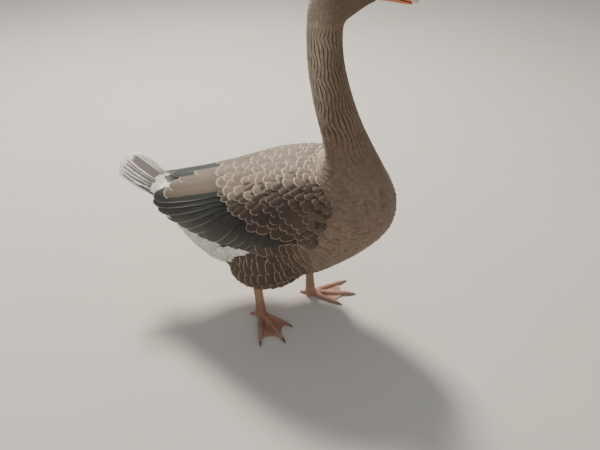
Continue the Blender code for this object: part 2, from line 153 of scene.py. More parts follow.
def placed(name: str, mesh: bpy.types.Mesh, helper: bool = False) -> bpy.types.Object:
    """A mesh as an object of the scene.

    Args:
        name: the object's name.
        mesh: its mesh.
        helper: True for one that no render shows.

    Returns:
        The new object, at the origin.
    """
    thing = bpy.data.objects.new(name, mesh)
    bpy.context.scene.collection.objects.link(thing)
    thing.hide_render = helper
    return thing


def settled(thing: bpy.types.Object) -> bpy.types.Object:
    """The object with its modifiers' result as its plain mesh.

    Args:
        thing: an object with modifiers.

    Returns:
        The same object, with none.
    """
    graph = bpy.context.evaluated_depsgraph_get()
    result = bpy.data.meshes.new_from_object(thing.evaluated_get(graph), depsgraph=graph)
    spent = thing.data
    thing.modifiers.clear()
    thing.data = result
    result.name = thing.name
    bpy.data.meshes.remove(spent)
    return thing


def corners(mesh: bpy.types.Mesh) -> np.ndarray:
    """A mesh's points, one a row.

    Args:
        mesh: the mesh to read.

    Returns:
        Their coordinates.
    """
    values = np.empty(len(mesh.vertices) * 3, np.float32)
    mesh.vertices.foreach_get("co", values)
    return values.reshape(-1, 3).astype(float)


def normals(mesh: bpy.types.Mesh) -> np.ndarray:
    """The outward directions at a mesh's points, one a row.

    Args:
        mesh: the mesh to read.

    Returns:
        Their normals.
    """
    values = np.empty(len(mesh.vertices) * 3, np.float32)
    mesh.vertex_normals.foreach_get("vector", values)
    return values.reshape(-1, 3).astype(float)


def sink(mesh: bpy.types.Mesh, depth: np.ndarray) -> None:
    """Moves a mesh's points inward along their normals.

    Args:
        mesh: the mesh to move.
        depth: how far, for each point.
    """
    moved = corners(mesh) - normals(mesh) * depth[:, None]
    mesh.vertices.foreach_set("co", moved.astype(np.float32).ravel())
    mesh.update()


def store(mesh: bpy.types.Mesh, name: str, values: np.ndarray, domain: str = "POINT") -> None:
    """Stores a number or a vector for each of the mesh's points or edges.

    Args:
        mesh: the mesh that keeps them.
        name: their name.
        values: one row each; a row of three numbers is a vector.
        domain: the points or the edges.
    """
    values = np.ascontiguousarray(values)
    kind, key = ("FLOAT_VECTOR", "vector") if values.ndim == 2 else ("FLOAT", "value")
    if values.dtype == bool:
        kind = "BOOLEAN"
    mesh.attributes.new(name, kind, domain).data.foreach_set(key, values.ravel())


def write_colour(mesh: bpy.types.Mesh, colours: np.ndarray) -> None:
    """Stores the colour of each of the mesh's points under the name that the finishes read.

    Args:
        mesh: the mesh that keeps them.
        colours: a linear colour a row.
    """
    layer = mesh.color_attributes.new("tone", "FLOAT_COLOR", "POINT")
    values = np.column_stack((colours, np.ones(len(colours)))).astype(np.float32)
    layer.data.foreach_set("color", values.ravel())


def give(thing: bpy.types.Object, finish: bpy.types.Material | None = None) -> None:
    """Hands a finished piece to the frame.

    Args:
        thing: the piece.
        finish: the material, if the piece doesn't have it yet.
    """
    if finish:
        thing.data.materials.clear()
        thing.data.materials.append(finish)
    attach(thing, "root")
    LOG.info("%s: %d faces", thing.name, len(thing.data.polygons))


class Sheet:
    """Makes and joins the nodes of one tree."""

    def __init__(self, tree: bpy.types.NodeTree) -> None:
        """Keeps the tree that the nodes go into."""
        self.tree = tree

    def add(self, kind: str, **settings: object) -> bpy.types.Node:
        """One node with its settings.

        Args:
            kind: the node's type name.
            settings: attributes of the node.

        Returns:
            The new node.
        """
        node = self.tree.nodes.new(kind)
        for name, value in settings.items():
            setattr(node, name, value)
        return node

    def put(self, socket: Socket, value: object) -> None:
        """Joins a socket to another one, or gives it a plain value.

        Args:
            socket: the socket that takes it.
            value: a socket, a plain value, or None to leave it as it is.
        """
        if isinstance(value, Socket):
            self.tree.links.new(value, socket)
        elif value is not None:
            socket.default_value = value

    def math(self, operation: str, *values: object) -> Socket:
        """A Math node's result.

        Args:
            operation: what it does.
            values: numbers or sockets, in order.

        Returns:
            The result's socket.
        """
        node = self.add("ShaderNodeMath", operation=operation)
        for socket, value in zip(node.inputs, values):
            self.put(socket, value)
        return node.outputs[0]

    def vector(self, operation: str, *values: object) -> Socket:
        """A Vector Math node's result.

        Args:
            operation: what it does.
            values: vectors or sockets, in order.

        Returns:
            The result's socket.
        """
        node = self.add("ShaderNodeVectorMath", operation=operation)
        for socket, value in zip(node.inputs, values):
            self.put(socket, value)
        return node.outputs["Value" if operation in ("LENGTH", "DOT_PRODUCT") else 0]

    def scaled(self, vector: object, by: object) -> Socket:
        """A vector times a number.

        Args:
            vector: the vector or its socket.
            by: the number or its socket.

        Returns:
            The longer or shorter vector's socket.
        """
        node = self.add("ShaderNodeVectorMath", operation="SCALE")
        self.put(node.inputs[0], vector)
        self.put(node.inputs["Scale"], by)
        return node.outputs[0]

    def split(self, vector: object) -> tuple[Socket, ...]:
        """A vector's three numbers.

        Args:
            vector: the vector's socket.

        Returns:
            The three sockets.
        """
        node = self.add("ShaderNodeSeparateXYZ")
        self.put(node.inputs[0], vector)
        return tuple(node.outputs)

    def step(self, value: object, low: object, high: object) -> Socket:
        """A smooth step from 0 to 1.

        Args:
            value: the number or socket to place on it.
            low: where it starts.
            high: where it ends, which may be below low.

        Returns:
            The step's height as a socket.
        """
        node = self.add("ShaderNodeMapRange", interpolation_type="SMOOTHSTEP")
        for name, given in (("Value", value), ("From Min", low), ("From Max", high)):
            self.put(node.inputs[name], given)
        return node.outputs["Result"]

    def blend(self, factor: object, first: object, second: object) -> Socket:
        """Two colours mixed.

        Args:
            factor: the share of the second one.
            first: a colour or a socket.
            second: a colour or a socket.

        Returns:
            The mixed colour's socket.
        """
        node = self.add("ShaderNodeMix", data_type="RGBA")
        self.put(node.inputs[0], factor)
        for socket, value in ((node.inputs[6], first), (node.inputs[7], second)):
            if isinstance(value, (tuple, list, np.ndarray)):
                value = (*[float(v) for v in value][:3], 1.0)
            self.put(socket, value)
        return node.outputs[2]


@dataclass(frozen=True)
class Plumage:
    """The colours of skin and coat in screen values, and where the white behind the legs begins."""

    neck: Triple = (112, 91, 73)
    throat: Triple = (132, 106, 84)
    head: Triple = (104, 85, 68)
    breast: Triple = (124, 103, 86)
    # Partly painted light: the mantle's plumage colour, made paler to stand for sunlight on the top of the
    # back.
    mantle: Triple = (182, 164, 144)
    flank: Triple = (82, 66, 53)
    thigh: Triple = (104, 86, 70)
    white: Triple = (232, 227, 215)
    pale_tip: Triple = (192, 174, 152)
    neck_tip: Triple = (160, 139, 118)
    scapular: Triple = (128, 109, 92)
    scapular_tip: Triple = (222, 206, 185)
    tertial: Triple = (112, 96, 83)
    covert: Triple = (70, 57, 46)
    covert_tip: Triple = (190, 175, 153)
    secondary: Triple = (50, 46, 39)
    primary: Triple = (42, 44, 39)
    quill_edge: Triple = (156, 149, 134)
    tail: Triple = (106, 97, 89)
    white_front: tuple[tuple[float, ...], ...] = (
        (0.10, 0.12, 0.158, 0.174, 0.198, 0.216, 0.30),
        (-0.125, -0.115, -0.100, -0.077, -0.058, -0.046, -0.02),
    )

    def tone(self, name: str) -> np.ndarray:
        """One of the colours as linear light."""
        return linear(*getattr(self, name))

    def at(self, points: np.ndarray) -> np.ndarray:
        """The ground colour of the body's plumage at points of its surface, with painted sunlight on the
        mantle.

        Args:
            points: world points, one a row.

        Returns:
            A linear colour for each point.
        """
        x, y, z = (points - STANCE).T
        colour = np.tile(self.tone("breast"), (len(x), 1))

        def lay(name: str, share: np.ndarray) -> None:
            """Lays one of the colours over what is there."""
            colour[:] += share[:, None] * (self.tone(name) - colour)

        up_neck = z + 0.75 * (x - 0.10)
        lay("neck", ease(0.36, 0.46, up_neck) * ease(0.33, 0.42, z))
        lay("throat", 0.5 * ease(0.40, 0.46, z) * ease(0.60, 0.50, z) * ease(0.08, 0.14, x))
        lay("head", ease(0.635, 0.665, z))
        # Painted light: the top of the back gets the mantle colour, made paler for the sunlight falling on
        # it.
        lay("mantle", ease(0.31, 0.35, z) * ease(0.10, 0.04, x))
        beside = ease(0.10, 0.05, x) * ease(0.04, 0.07, np.abs(y))
        lay("flank", ease(0.275, 0.260, z) * ease(0.120, 0.140, z) * beside)
        lay("thigh", ease(0.140, 0.122, z) * ease(-0.115, -0.085, x) * ease(0.02, 0.05, np.abs(y)))
        edge = np.interp(z, *self.white_front)
        edge = edge + 0.030 * ease(0.0, 0.04, y) * ease(0.20, 0.17, z)
        vent = ease(0.003, -0.006, x - edge) * ease(0.262, 0.250, z)
        under = ease(0.055, 0.030, np.abs(y)) * ease(-0.03, -0.07, x) * ease(0.20, 0.16, z)
        lay("white", np.maximum(vent, under))
        lay("white", ease(-0.205, -0.225, x))
        return colour


@dataclass
class Solids:
    """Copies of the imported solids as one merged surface, for the skin and for the coat to lie on."""

    voxel: float = 0.0034

    def merged(self, name: str, nodes: tuple[str, ...]) -> bpy.types.Object:
        """The named nodes as one welded object.

        Args:
            name: the new object's name.
            nodes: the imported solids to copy.

        Returns:
            The new object, whose loose triangles are welded.
        """
        joined = bmesh.new()
        for node in nodes:
            joined.from_mesh(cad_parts[node].data)
        bmesh.ops.remove_doubles(joined, verts=joined.verts, dist=1e-5)
        mesh = bpy.data.meshes.new(name)
        joined.to_mesh(mesh)
        joined.free()
        return placed(name, mesh)

    def wrapped(
        self, name: str, nodes: tuple[str, ...], smoothing: int, voxel: float = 0.0
    ) -> bpy.types.Object:
        """The named nodes as one smooth closed surface.

        Args:
            name: the new object's name.
            nodes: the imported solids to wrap.
            smoothing: how often the surface is smoothed.
            voxel: the wrap's fineness, or 0 for the usual one.

        Returns:
            The new object.
        """
        thing = self.merged(name, nodes)
        wrap = thing.modifiers.new("wrap", "REMESH")
        wrap.mode = "VOXEL"
        wrap.voxel_size = voxel or self.voxel
        wrap.use_smooth_shade = True
        soften = thing.modifiers.new("soften", "SMOOTH")
        soften.factor = 0.5
        soften.iterations = smoothing
        return settled(thing)


class Surface:
    """A surface that rays are cast on."""

    def __init__(self, thing: bpy.types.Object) -> None:
        """Builds the search tree of an object's mesh.

        Args:
            thing: the object.
        """
        mesh = thing.data
        faces = [face.vertices for face in mesh.polygons]
        self.tree = BVHTree.FromPolygons([point.co for point in mesh.vertices], faces)

    def inward(
        self, centre: np.ndarray, way: np.ndarray, reach: float
    ) -> tuple[np.ndarray, np.ndarray] | None:
        """Where a ray that comes in from outside meets the surface.

        Args:
            centre: the point that the ray runs to.
            way: the direction outward from the centre.
            reach: how far out the ray starts.

        Returns:
            The point and its outward normal, or None.
        """
        spot, normal, _, _ = self.tree.ray_cast(Vector(centre + way * reach), Vector(-way), reach)
        return None if spot is None else (np.array(spot), np.array(normal))

    def outward(
        self, centre: np.ndarray, way: np.ndarray, reach: float
    ) -> tuple[np.ndarray, np.ndarray] | None:
        """Where a ray from inside leaves the surface, as inward does."""
        spot, normal, _, _ = self.tree.ray_cast(Vector(centre), Vector(way), reach)
        return None if spot is None else (np.array(spot), np.array(normal))

    def near(self, spot: np.ndarray, reach: float) -> bool:
        """Whether this surface comes within a distance of a spot."""
        return self.tree.find_nearest(Vector(spot), reach)[0] is not None


def curve(four: tuple[np.ndarray, ...], t: float) -> np.ndarray:
    """A place on the smooth curve through the middle two of four points.

    Args:
        four: the points in order, one of them past each end.
        t: how far it is from the second point to the third, 0 to 1.

    Returns:
        The place.
    """
    a, b, c, d = four
    bend, twist = 2 * a - 5 * b + 4 * c - d, 3 * b - a - 3 * c + d
    return 0.5 * (2 * b + (c - a) * t + bend * t**2 + twist * t**3)


@dataclass
class Spine:
    """The middle line of the body from the tail's root to the bill, and the planes across it."""

    keys: tuple[Triple, ...] = (
        (-0.297, 0.254, 12),
        (-0.206, 0.226, 5),
        (-0.0775, 0.2355, 3.5),
        (0.015, 0.250, 5),
        (0.0750, 0.268, 10),
        (0.110, 0.292, 20),
        (0.131, 0.322, 33),
        (0.139, 0.3555, 44),
        (0.123, 0.4065, 53),
        (0.0927, 0.4775, 60),
        (0.071, 0.5485, 71.7),
        (0.064, 0.613, 80),
        (0.0717, 0.654, 63.6),
        (0.093, 0.6825, 44),
        (0.1197, 0.6985, 28),
        (0.1495, 0.693, 4),
    )
    fineness: float = 0.002
    line: np.ndarray = field(init=False)
    length: float = field(init=False)

    def __post_init__(self) -> None:
        """Draws the line through its keys, in even steps."""
        keys = np.array(self.keys)
        keys = np.vstack((2 * keys[0] - keys[1], keys, 2 * keys[-1] - keys[-2]))
        drawn = []
        for four in zip(keys, keys[1:], keys[2:], keys[3:]):
            drawn.extend(curve(four, t) for t in np.linspace(0, 1, 24, endpoint=False))
        drawn.append(keys[-2])
        drawn = np.array(drawn)
        along = np.concatenate(([0], np.cumsum(np.hypot(*np.diff(drawn[:, :2], axis=0).T))))
        self.length = float(along[-1])
        steps = np.arange(0, self.length, self.fineness)
        self.line = np.column_stack([np.interp(steps, along, drawn[:, k]) for k in range(3)])

    def plane(self, step: int) -> tuple[np.ndarray, np.ndarray, np.ndarray]:
        """One of the line's cross planes.

        Args:
            step: the number of the line's point.

        Returns:
            The middle, the way to the back, and the way on along the line.
        """
        x, z, lean = self.line[step]
        tilt = math.radians(lean)
        middle = np.array((x, 0.0, z)) + STANCE
        back = np.array((-math.sin(tilt), 0.0, math.cos(tilt)))
        before, after = self.line[max(step - 1, 0)], self.line[min(step + 1, len(self.line) - 1)]
        ahead = unit(np.array((after[0] - before[0], 0.0, after[1] - before[1])))
        return middle, back, ahead


@dataclass(frozen=True)
class VaneShape:
    """One feather outline as a thin closed blade, to be repeated over a coat.

    The outline gives the blade's half width at places along it, and across gives its columns. A frayed
    column ends short of the tip, and slender says how narrow the pale band at the tip is.
    """

    cut: Cut
    slender: float
    outline: tuple[tuple[float, float], ...]
    across: tuple[float, ...]
    frayed: tuple[float, ...]

    def make(self) -> bpy.types.Object:
        """The blade as an object, with its own place along and across it stored at each point.

        Returns:
            A new object, one long and two wide, its edge a shared rim.
        """
        rows, columns = len(self.outline), len(self.across)
        points, places, layers = [], [], []
        index: dict[tuple[int, int, int], int] = {}
        for i, (along, half) in enumerate(self.outline):
            for j, share in enumerate(self.across):
                rim = i in (0, rows - 1) or j in (0, columns - 1)
                fray = self.frayed[j] * (i / (rows - 1)) ** 6
                down = along - fray
                to_tip = 1 - min((1 - down) * self.slender, 1.0)
                edge = 1.0 if rim and i else max(abs(share) ** 1.5, to_tip)
                for layer in (0,) if rim else (1, -1):
                    index[i, j, layer] = len(points)
                    points.append((share * half, down, 0.01 * layer))
                    places.append((down, share * half, edge))
                    layers.append(float(layer))
        faces = []
        for i in range(rows - 1):
            for j in range(columns - 1):
                ring = ((i, j), (i, j + 1), (i + 1, j + 1), (i + 1, j))
                for layer in (1, -1):
                    face = [index.get((*at, 0), index.get((*at, layer))) for at in ring]
                    faces.append(face if layer == 1 else face[::-1])
        mesh = bpy.data.meshes.new("vane_" + self.cut.value)
        mesh.from_pydata(points, [], faces, shade_flat=False)
        store(mesh, "vane", np.array(places, np.float32))
        store(mesh, "layer", np.array(layers, np.float32))
        rims = {number for (_, _, layer), number in index.items() if layer == 0}
        sharp = np.array([e.vertices[0] in rims and e.vertices[1] in rims for e in mesh.edges])
        store(mesh, "sharp_edge", sharp, "EDGE")
        mesh.update()
        return placed(mesh.name, mesh, True)


VANES = (
    VaneShape(
        cut=Cut.ROUND,
        slender=2.6,
        outline=(
            *((0, 0.30), (0.22, 0.70), (0.50, 0.97), (0.74, 0.98)),
            *((0.90, 0.74), (0.975, 0.38), (1, 0.12)),
        ),
        across=(-1, -0.5, 0, 0.5, 1),
        frayed=(0, 0, 0, 0, 0),
    ),
    VaneShape(
        cut=Cut.SMALL,
        slender=2.6,
        outline=((0, 0.35), (0.35, 0.90), (0.70, 1.0), (0.92, 0.66), (1, 0.20)),
        across=(-1, 0, 1),
        frayed=(0, 0, 0),
    ),
    VaneShape(
        cut=Cut.TUFT,
        slender=4.0,
        outline=((0, 0.45), (0.35, 0.95), (0.75, 0.90), (1, 0.42)),
        across=(-1, 0, 1),
        frayed=(0.10, 0, 0.13),
    ),
    VaneShape(
        cut=Cut.LOOSE,
        slender=2.8,
        outline=((0, 0.40), (0.30, 0.85), (0.62, 1.0), (0.88, 0.86), (1, 0.60)),
        across=(-1, -0.45, 0, 0.45, 1),
        frayed=(0.17, 0.02, 0.09, 0, 0.15),
    ),
    VaneShape(
        cut=Cut.BLUNT,
        slender=2.9,
        outline=((0, 0.35), (0.30, 0.82), (0.62, 1.0), (0.84, 0.98), (0.94, 0.80), (1, 0.42)),
        across=(-1, -0.5, 0, 0.5, 1),
        frayed=(0.03, 0, 0, 0.01, 0.02),
    ),
    VaneShape(
        cut=Cut.FAN,
        slender=2.9,
        outline=(
            *((0, 0.55), (0.20, 0.80), (0.45, 0.95), (0.70, 1.0)),
            *((0.86, 0.92), (0.95, 0.66), (1, 0.22)),
        ),
        across=(-1, -0.6, -0.2, 0.2, 0.6, 1),
        frayed=(0.01, 0, 0, 0, 0, 0.015),
    ),
    VaneShape(
        cut=Cut.LONG,
        slender=9.0,
        outline=(
            *((0, 0.55), (0.15, 0.78), (0.32, 0.92), (0.50, 1.0), (0.66, 1.0)),
            *((0.80, 0.97), (0.90, 0.84), (0.955, 0.62), (0.985, 0.36), (1, 0.12)),
        ),
        across=(-1, -0.5, 0, 0.5, 1),
        frayed=(0, 0, 0, 0, 0),
    ),
)


@dataclass
class VaneTree:
    """The node tree that sets one blade on each root and bends it over the bed beneath.

    Each root carries its feather's size, rise, lie, facing and colours, which its blade reads.
    """

    name: str = "set_vanes"
    settle: float = 1.4
    unevenness: float = 0.0003
    tree: bpy.types.NodeTree = field(init=False)
    inputs: dict[str, str] = field(init=False, default_factory=dict)

    def __post_init__(self) -> None:
        """Builds the tree with its named inputs."""
        self.tree = bpy.data.node_groups.new(self.name, "GeometryNodeTree")
        face = self.tree.interface
        face.new_socket(name="Roots", in_out="INPUT", socket_type="NodeSocketGeometry")
        for name, kind in (
            ("Vane", "NodeSocketObject"),
            ("Bed", "NodeSocketObject"),
            ("Cling", "NodeSocketFloat"),
            ("Thickness", "NodeSocketFloat"),
            ("Length spread", "NodeSocketFloat"),
            ("Swing", "NodeSocketFloat"),
            ("Seed", "NodeSocketInt"),
            ("Finish", "NodeSocketMaterial"),
        ):
            self.inputs[name] = face.new_socket(name=name, in_out="INPUT", socket_type=kind).identifier
        face.new_socket(name="Coat", in_out="OUTPUT", socket_type="NodeSocketGeometry")
        self.join_up(Sheet(self.tree))

    def named(self, sheet: Sheet, name: str, kind: str = "FLOAT_VECTOR") -> Socket:
        """A stored value's socket.

        Args:
            sheet: where the nodes go.
            name: the value's name.
            kind: its type.

        Returns:
            The socket that gives it.
        """
        node = sheet.add("GeometryNodeInputNamedAttribute", data_type=kind)
        node.inputs["Name"].default_value = name
        return next(o for o in node.outputs if o.enabled and o.name == "Attribute")

    def nearest(self, sheet: Sheet, bed: object, value: object, place: object) -> Socket:
        """The bed's value at the spot of it that is nearest to a place.

        Args:
            sheet: where the nodes go.
            bed: the bed's surface.
            value: what is read from it.
            place: the place.

        Returns:
            The value's socket.
        """
        node = sheet.add("GeometryNodeSampleNearestSurface", data_type="FLOAT_VECTOR")
        sheet.put(node.inputs["Mesh"], bed)
        sheet.put(next(s for s in node.inputs if s.enabled and s.name == "Value"), value)
        sheet.put(node.inputs["Sample Position"], place)
        return next(o for o in node.outputs if o.enabled and o.name == "Value")

    def laid(self, sheet: Sheet, given: bpy.types.bpy_prop_collection) -> Socket:
        """One blade for each root, with three numbers by chance of its own.

        Args:
            sheet: where the nodes go.
            given: the tree's inputs.

        Returns:
            The blades' socket, before they take their shape.
        """
        chance = sheet.add("GeometryNodeStoreNamedAttribute", data_type="FLOAT_VECTOR", domain="POINT")
        chance.inputs["Name"].default_value = "chance"
        draw = sheet.add("FunctionNodeRandomValue", data_type="FLOAT_VECTOR")
        draw.inputs["Min"].default_value = (-1, -1, -1)
        draw.inputs["Max"].default_value = (1, 1, 1)
        sheet.put(draw.inputs["Seed"], given["Seed"])
        sheet.put(chance.inputs["Geometry"], given["Roots"])
        sheet.put(next(s for s in chance.inputs if s.enabled and s.name == "Value"), draw.outputs["Value"])
        vane = sheet.add("GeometryNodeObjectInfo")
        sheet.put(vane.inputs["Object"], given["Vane"])
        laid = sheet.add("GeometryNodeInstanceOnPoints")
        sheet.put(laid.inputs["Points"], chance.outputs["Geometry"])
        sheet.put(laid.inputs["Instance"], vane.outputs["Geometry"])
        real = sheet.add("GeometryNodeRealizeInstances")
        sheet.put(real.inputs[0], laid.outputs[0])
        return real.outputs[0]

    def height(self, sheet: Sheet, given: bpy.types.bpy_prop_collection) -> Socket:
        """How high each point of a blade lies over the bed.

        Args:
            sheet: where the nodes go.
            given: the tree's inputs.

        Returns:
            The height: it grows towards the tip, falls to the sides, and parts the two faces.
        """
        along, across, _ = sheet.split(self.named(sheet, "vane"))
        roll = sheet.split(self.named(sheet, "size"))[2]
        low, high, camber = sheet.split(self.named(sheet, "rise"))
        tip = sheet.split(self.named(sheet, "chance"))[2]
        height = sheet.math("MULTIPLY_ADD", sheet.math("POWER", along, self.settle), high, low)
        height = sheet.math("MULTIPLY_ADD", sheet.math("MULTIPLY", across, roll), 1.0, height)
        bow = sheet.math("MULTIPLY", sheet.math("MULTIPLY", across, across), camber)
        height = sheet.math("SUBTRACT", height, bow)
        height = sheet.math("MULTIPLY_ADD", sheet.math("MULTIPLY", tip, self.unevenness), along, height)
        return sheet.math("MULTIPLY_ADD", self.named(sheet, "layer", "FLOAT"), given["Thickness"], height)

    def join_up(self, sheet: Sheet) -> None:
        """Joins the tree: the blades, their bend over the bed, and the finish.

        Args:
            sheet: where the nodes go.
        """
        given = sheet.add("NodeGroupInput").outputs
        blades = self.laid(sheet, given)
        bed = sheet.add("GeometryNodeObjectInfo")
        sheet.put(bed.inputs["Object"], given["Bed"])
        bed = bed.outputs["Geometry"]

        along, across, _ = sheet.split(self.named(sheet, "vane"))
        length, width, _ = sheet.split(self.named(sheet, "size"))
        stretch, turn, _ = sheet.split(self.named(sheet, "chance"))
        longer = sheet.math("MULTIPLY_ADD", stretch, given["Length spread"], 1.0)
        length = sheet.math("MULTIPLY", length, longer)
        normal = self.named(sheet, "face")
        swung = sheet.add("ShaderNodeVectorRotate", rotation_type="AXIS_ANGLE")
        sheet.put(swung.inputs["Vector"], self.named(sheet, "lie"))
        sheet.put(swung.inputs["Axis"], normal)
        sheet.put(swung.inputs["Angle"], sheet.math("MULTIPLY", turn, given["Swing"]))
        ahead = swung.outputs[0]
        aside = sheet.vector("CROSS_PRODUCT", ahead, normal)
        reach = sheet.scaled(ahead, sheet.math("MULTIPLY", along, length))
        flat = sheet.vector("ADD", self.named(sheet, "root"), reach)
        flat = sheet.vector("ADD", flat, sheet.scaled(aside, sheet.math("MULTIPLY", across, width)))
        spot = self.nearest(sheet, bed, sheet.add("GeometryNodeInputPosition").outputs[0], flat)
        tilt = self.nearest(sheet, bed, sheet.add("GeometryNodeInputNormal").outputs[0], flat)
        base = sheet.add("ShaderNodeMix", data_type="VECTOR")
        upward = sheet.add("ShaderNodeMix", data_type="VECTOR")
        for mix, first, second in ((base, flat, spot), (upward, normal, tilt)):
            sheet.put(mix.inputs[0], given["Cling"])
            sheet.put(mix.inputs[4], first)
            sheet.put(mix.inputs[5], second)
        outward = sheet.vector("NORMALIZE", upward.outputs[1])
        place = sheet.vector("ADD", base.outputs[1], sheet.scaled(outward, self.height(sheet, given)))
        moved = sheet.add("GeometryNodeSetPosition")
        sheet.put(moved.inputs["Geometry"], blades)
        sheet.put(moved.inputs["Position"], place)
        whole = sheet.add("GeometryNodeRealizeInstances")
        sheet.put(whole.inputs[0], moved.outputs[0])
        finish = sheet.add("GeometryNodeSetMaterial")
        sheet.put(finish.inputs["Geometry"], whole.outputs[0])
        sheet.put(finish.inputs["Material"], given["Finish"])
        sheet.put(sheet.add("NodeGroupOutput").inputs[0], finish.outputs[0])


@dataclass
class Coat:
    """One piece of the plumage: its roots, and the blades that are set on them."""

    name: str
    slot: str
    cut: Cut = Cut.SMALL
    cling: float = 1.0
    thickness: float = 0.00018
    spread: float = 0.10
    swing: float = 0.09
    patch: float = 0.003
    rows: list[tuple[np.ndarray, ...]] = field(default_factory=list)

    def root(
        self,
        spot: np.ndarray,
        lie: np.ndarray,
        face: np.ndarray,
        size: tuple[float, float],
        rise: Triple,
        tones: tuple[np.ndarray, np.ndarray],
        traits: Triple,
        place: tuple[float, float],
        roll: float = 0.0,
    ) -> None:
        """Sets one feather.

        Args:
            spot: the root's world point.
            lie: the way that the feather points.
            face: the surface's outward normal there.
            size: its length and width.
            rise: how high its root lies, how much its tip rises, how much its sides drop.
            tones: its ground colour and its edge colour.
            traits: a number by chance, where the edge band starts (0 to 1), and how strong it is.
            place: its place on the unwrap of the skin, 0 to 1 each way.
            roll: how much higher than its middle its right-hand edge lies.
        """
        lie = lie - face * float(np.dot(lie, face))
        if np.linalg.norm(lie) < 1e-6:
            return
        sizes = ((size[0], size[1] / 2, roll), rise)
        own = (traits, (*place, self.patch))
        self.rows.append((spot, unit(lie), face, *map(np.array, sizes), *tones, *map(np.array, own)))

    def build(
        self,
        vanes: dict[Cut, bpy.types.Object],
        tree: VaneTree,
        bed: bpy.types.Object,
        finish: bpy.types.Material,
    ) -> bpy.types.Object:
        """Makes the piece's mesh and hands it to the frame.

        Args:
            vanes: the blades by their cut.
            tree: the tree that sets them.
            bed: the surface that they lie on.
            finish: the material.

        Returns:
            The finished piece.
        """
        columns = [np.array(column, np.float32) for column in zip(*self.rows)]
        mesh = bpy.data.meshes.new(self.name)
        mesh.from_pydata(columns[0].tolist(), [], [])
        names = ("root", "lie", "face", "size", "rise", "tone", "fringe", "traits", "bake")
        for name, values in zip(names, columns):
            store(mesh, name, values)
        piece = placed(self.name, mesh)
        modifier = piece.modifiers.new("vanes", "NODES")
        modifier.node_group = tree.tree
        for name, value in (
            ("Vane", vanes[self.cut]),
            ("Bed", bed),
            ("Cling", self.cling),
            ("Thickness", self.thickness),
            ("Length spread", self.spread),
            ("Swing", self.swing),
            ("Seed", SEED),
            ("Finish", finish),
        ):
            modifier[tree.inputs[name]] = value
        settled(piece)
        self.write_map(piece.data)
        for name in ("root", "lie", "face", "rise", "chance", "layer", "bake"):
            piece.data.attributes.remove(piece.data.attributes[name])
        give(piece)
        return piece

    def write_map(self, mesh: bpy.types.Mesh) -> None:
        """Writes the piece's map, with each feather a small patch at its root's place.

        Args:
            mesh: the piece's mesh, which still has its roots' values.
        """
        read = {}
        for name in ("bake", "vane"):
            values = np.empty(len(mesh.vertices) * 3, np.float32)
            mesh.attributes[name].data.foreach_get("vector", values)
            read[name] = values.reshape(-1, 3)
        own = np.column_stack((0.5 * read["vane"][:, 1], read["vane"][:, 0] - 0.5))
        flat = read["bake"][:, :2] + read["bake"][:, 2:] * own
        ends = np.empty(len(mesh.loops), np.int32)
        mesh.loops.foreach_get("vertex_index", ends)
        mesh.uv_layers.new(name=BODY_MAP).data.foreach_set("uv", flat[ends].astype(np.float32).ravel())


def shader(name: str) -> tuple[bpy.types.Material, Sheet, bpy.types.Node]:
    """A new material with its node sheet.

    Args:
        name: the material's name.

    Returns:
        The material, its sheet and its Principled node.
    """
    material = bpy.data.materials.new(name)
    material.use_nodes = True
    return material, Sheet(material.node_tree), material.node_tree.nodes["Principled BSDF"]


def noise(sheet: Sheet, scale: float, detail: float = 3.0, where: object = None) -> Socket:
    """A soft random pattern in the object's own coordinates.

    Args:
        sheet: where the nodes go.
        scale: how many of its blots fit in a metre.
        detail: how many finer layers it has.
        where: the coordinates, if not the object's own.

    Returns:
        The socket with values about one half.
    """
    node = sheet.add("ShaderNodeTexNoise")
    node.inputs["Scale"].default_value = scale
    node.inputs["Detail"].default_value = detail
    sheet.put(node.inputs["Vector"], where or sheet.add("ShaderNodeTexCoord").outputs["Object"])
    return node.outputs[0]


def bump(sheet: Sheet, principled: bpy.types.Node, height: object, depth: float) -> None:
    """Gives a material a relief.

    Args:
        sheet: where the nodes go.
        principled: the shader that shows it.
        height: the socket with the relief, 0 to 1.
        depth: the relief's depth in metres.
    """
    node = sheet.add("ShaderNodeBump")
    node.inputs["Strength"].default_value = 1.0
    node.inputs["Distance"].default_value = depth
    sheet.put(node.inputs["Height"], height)
    sheet.put(principled.inputs["Normal"], node.outputs[0])


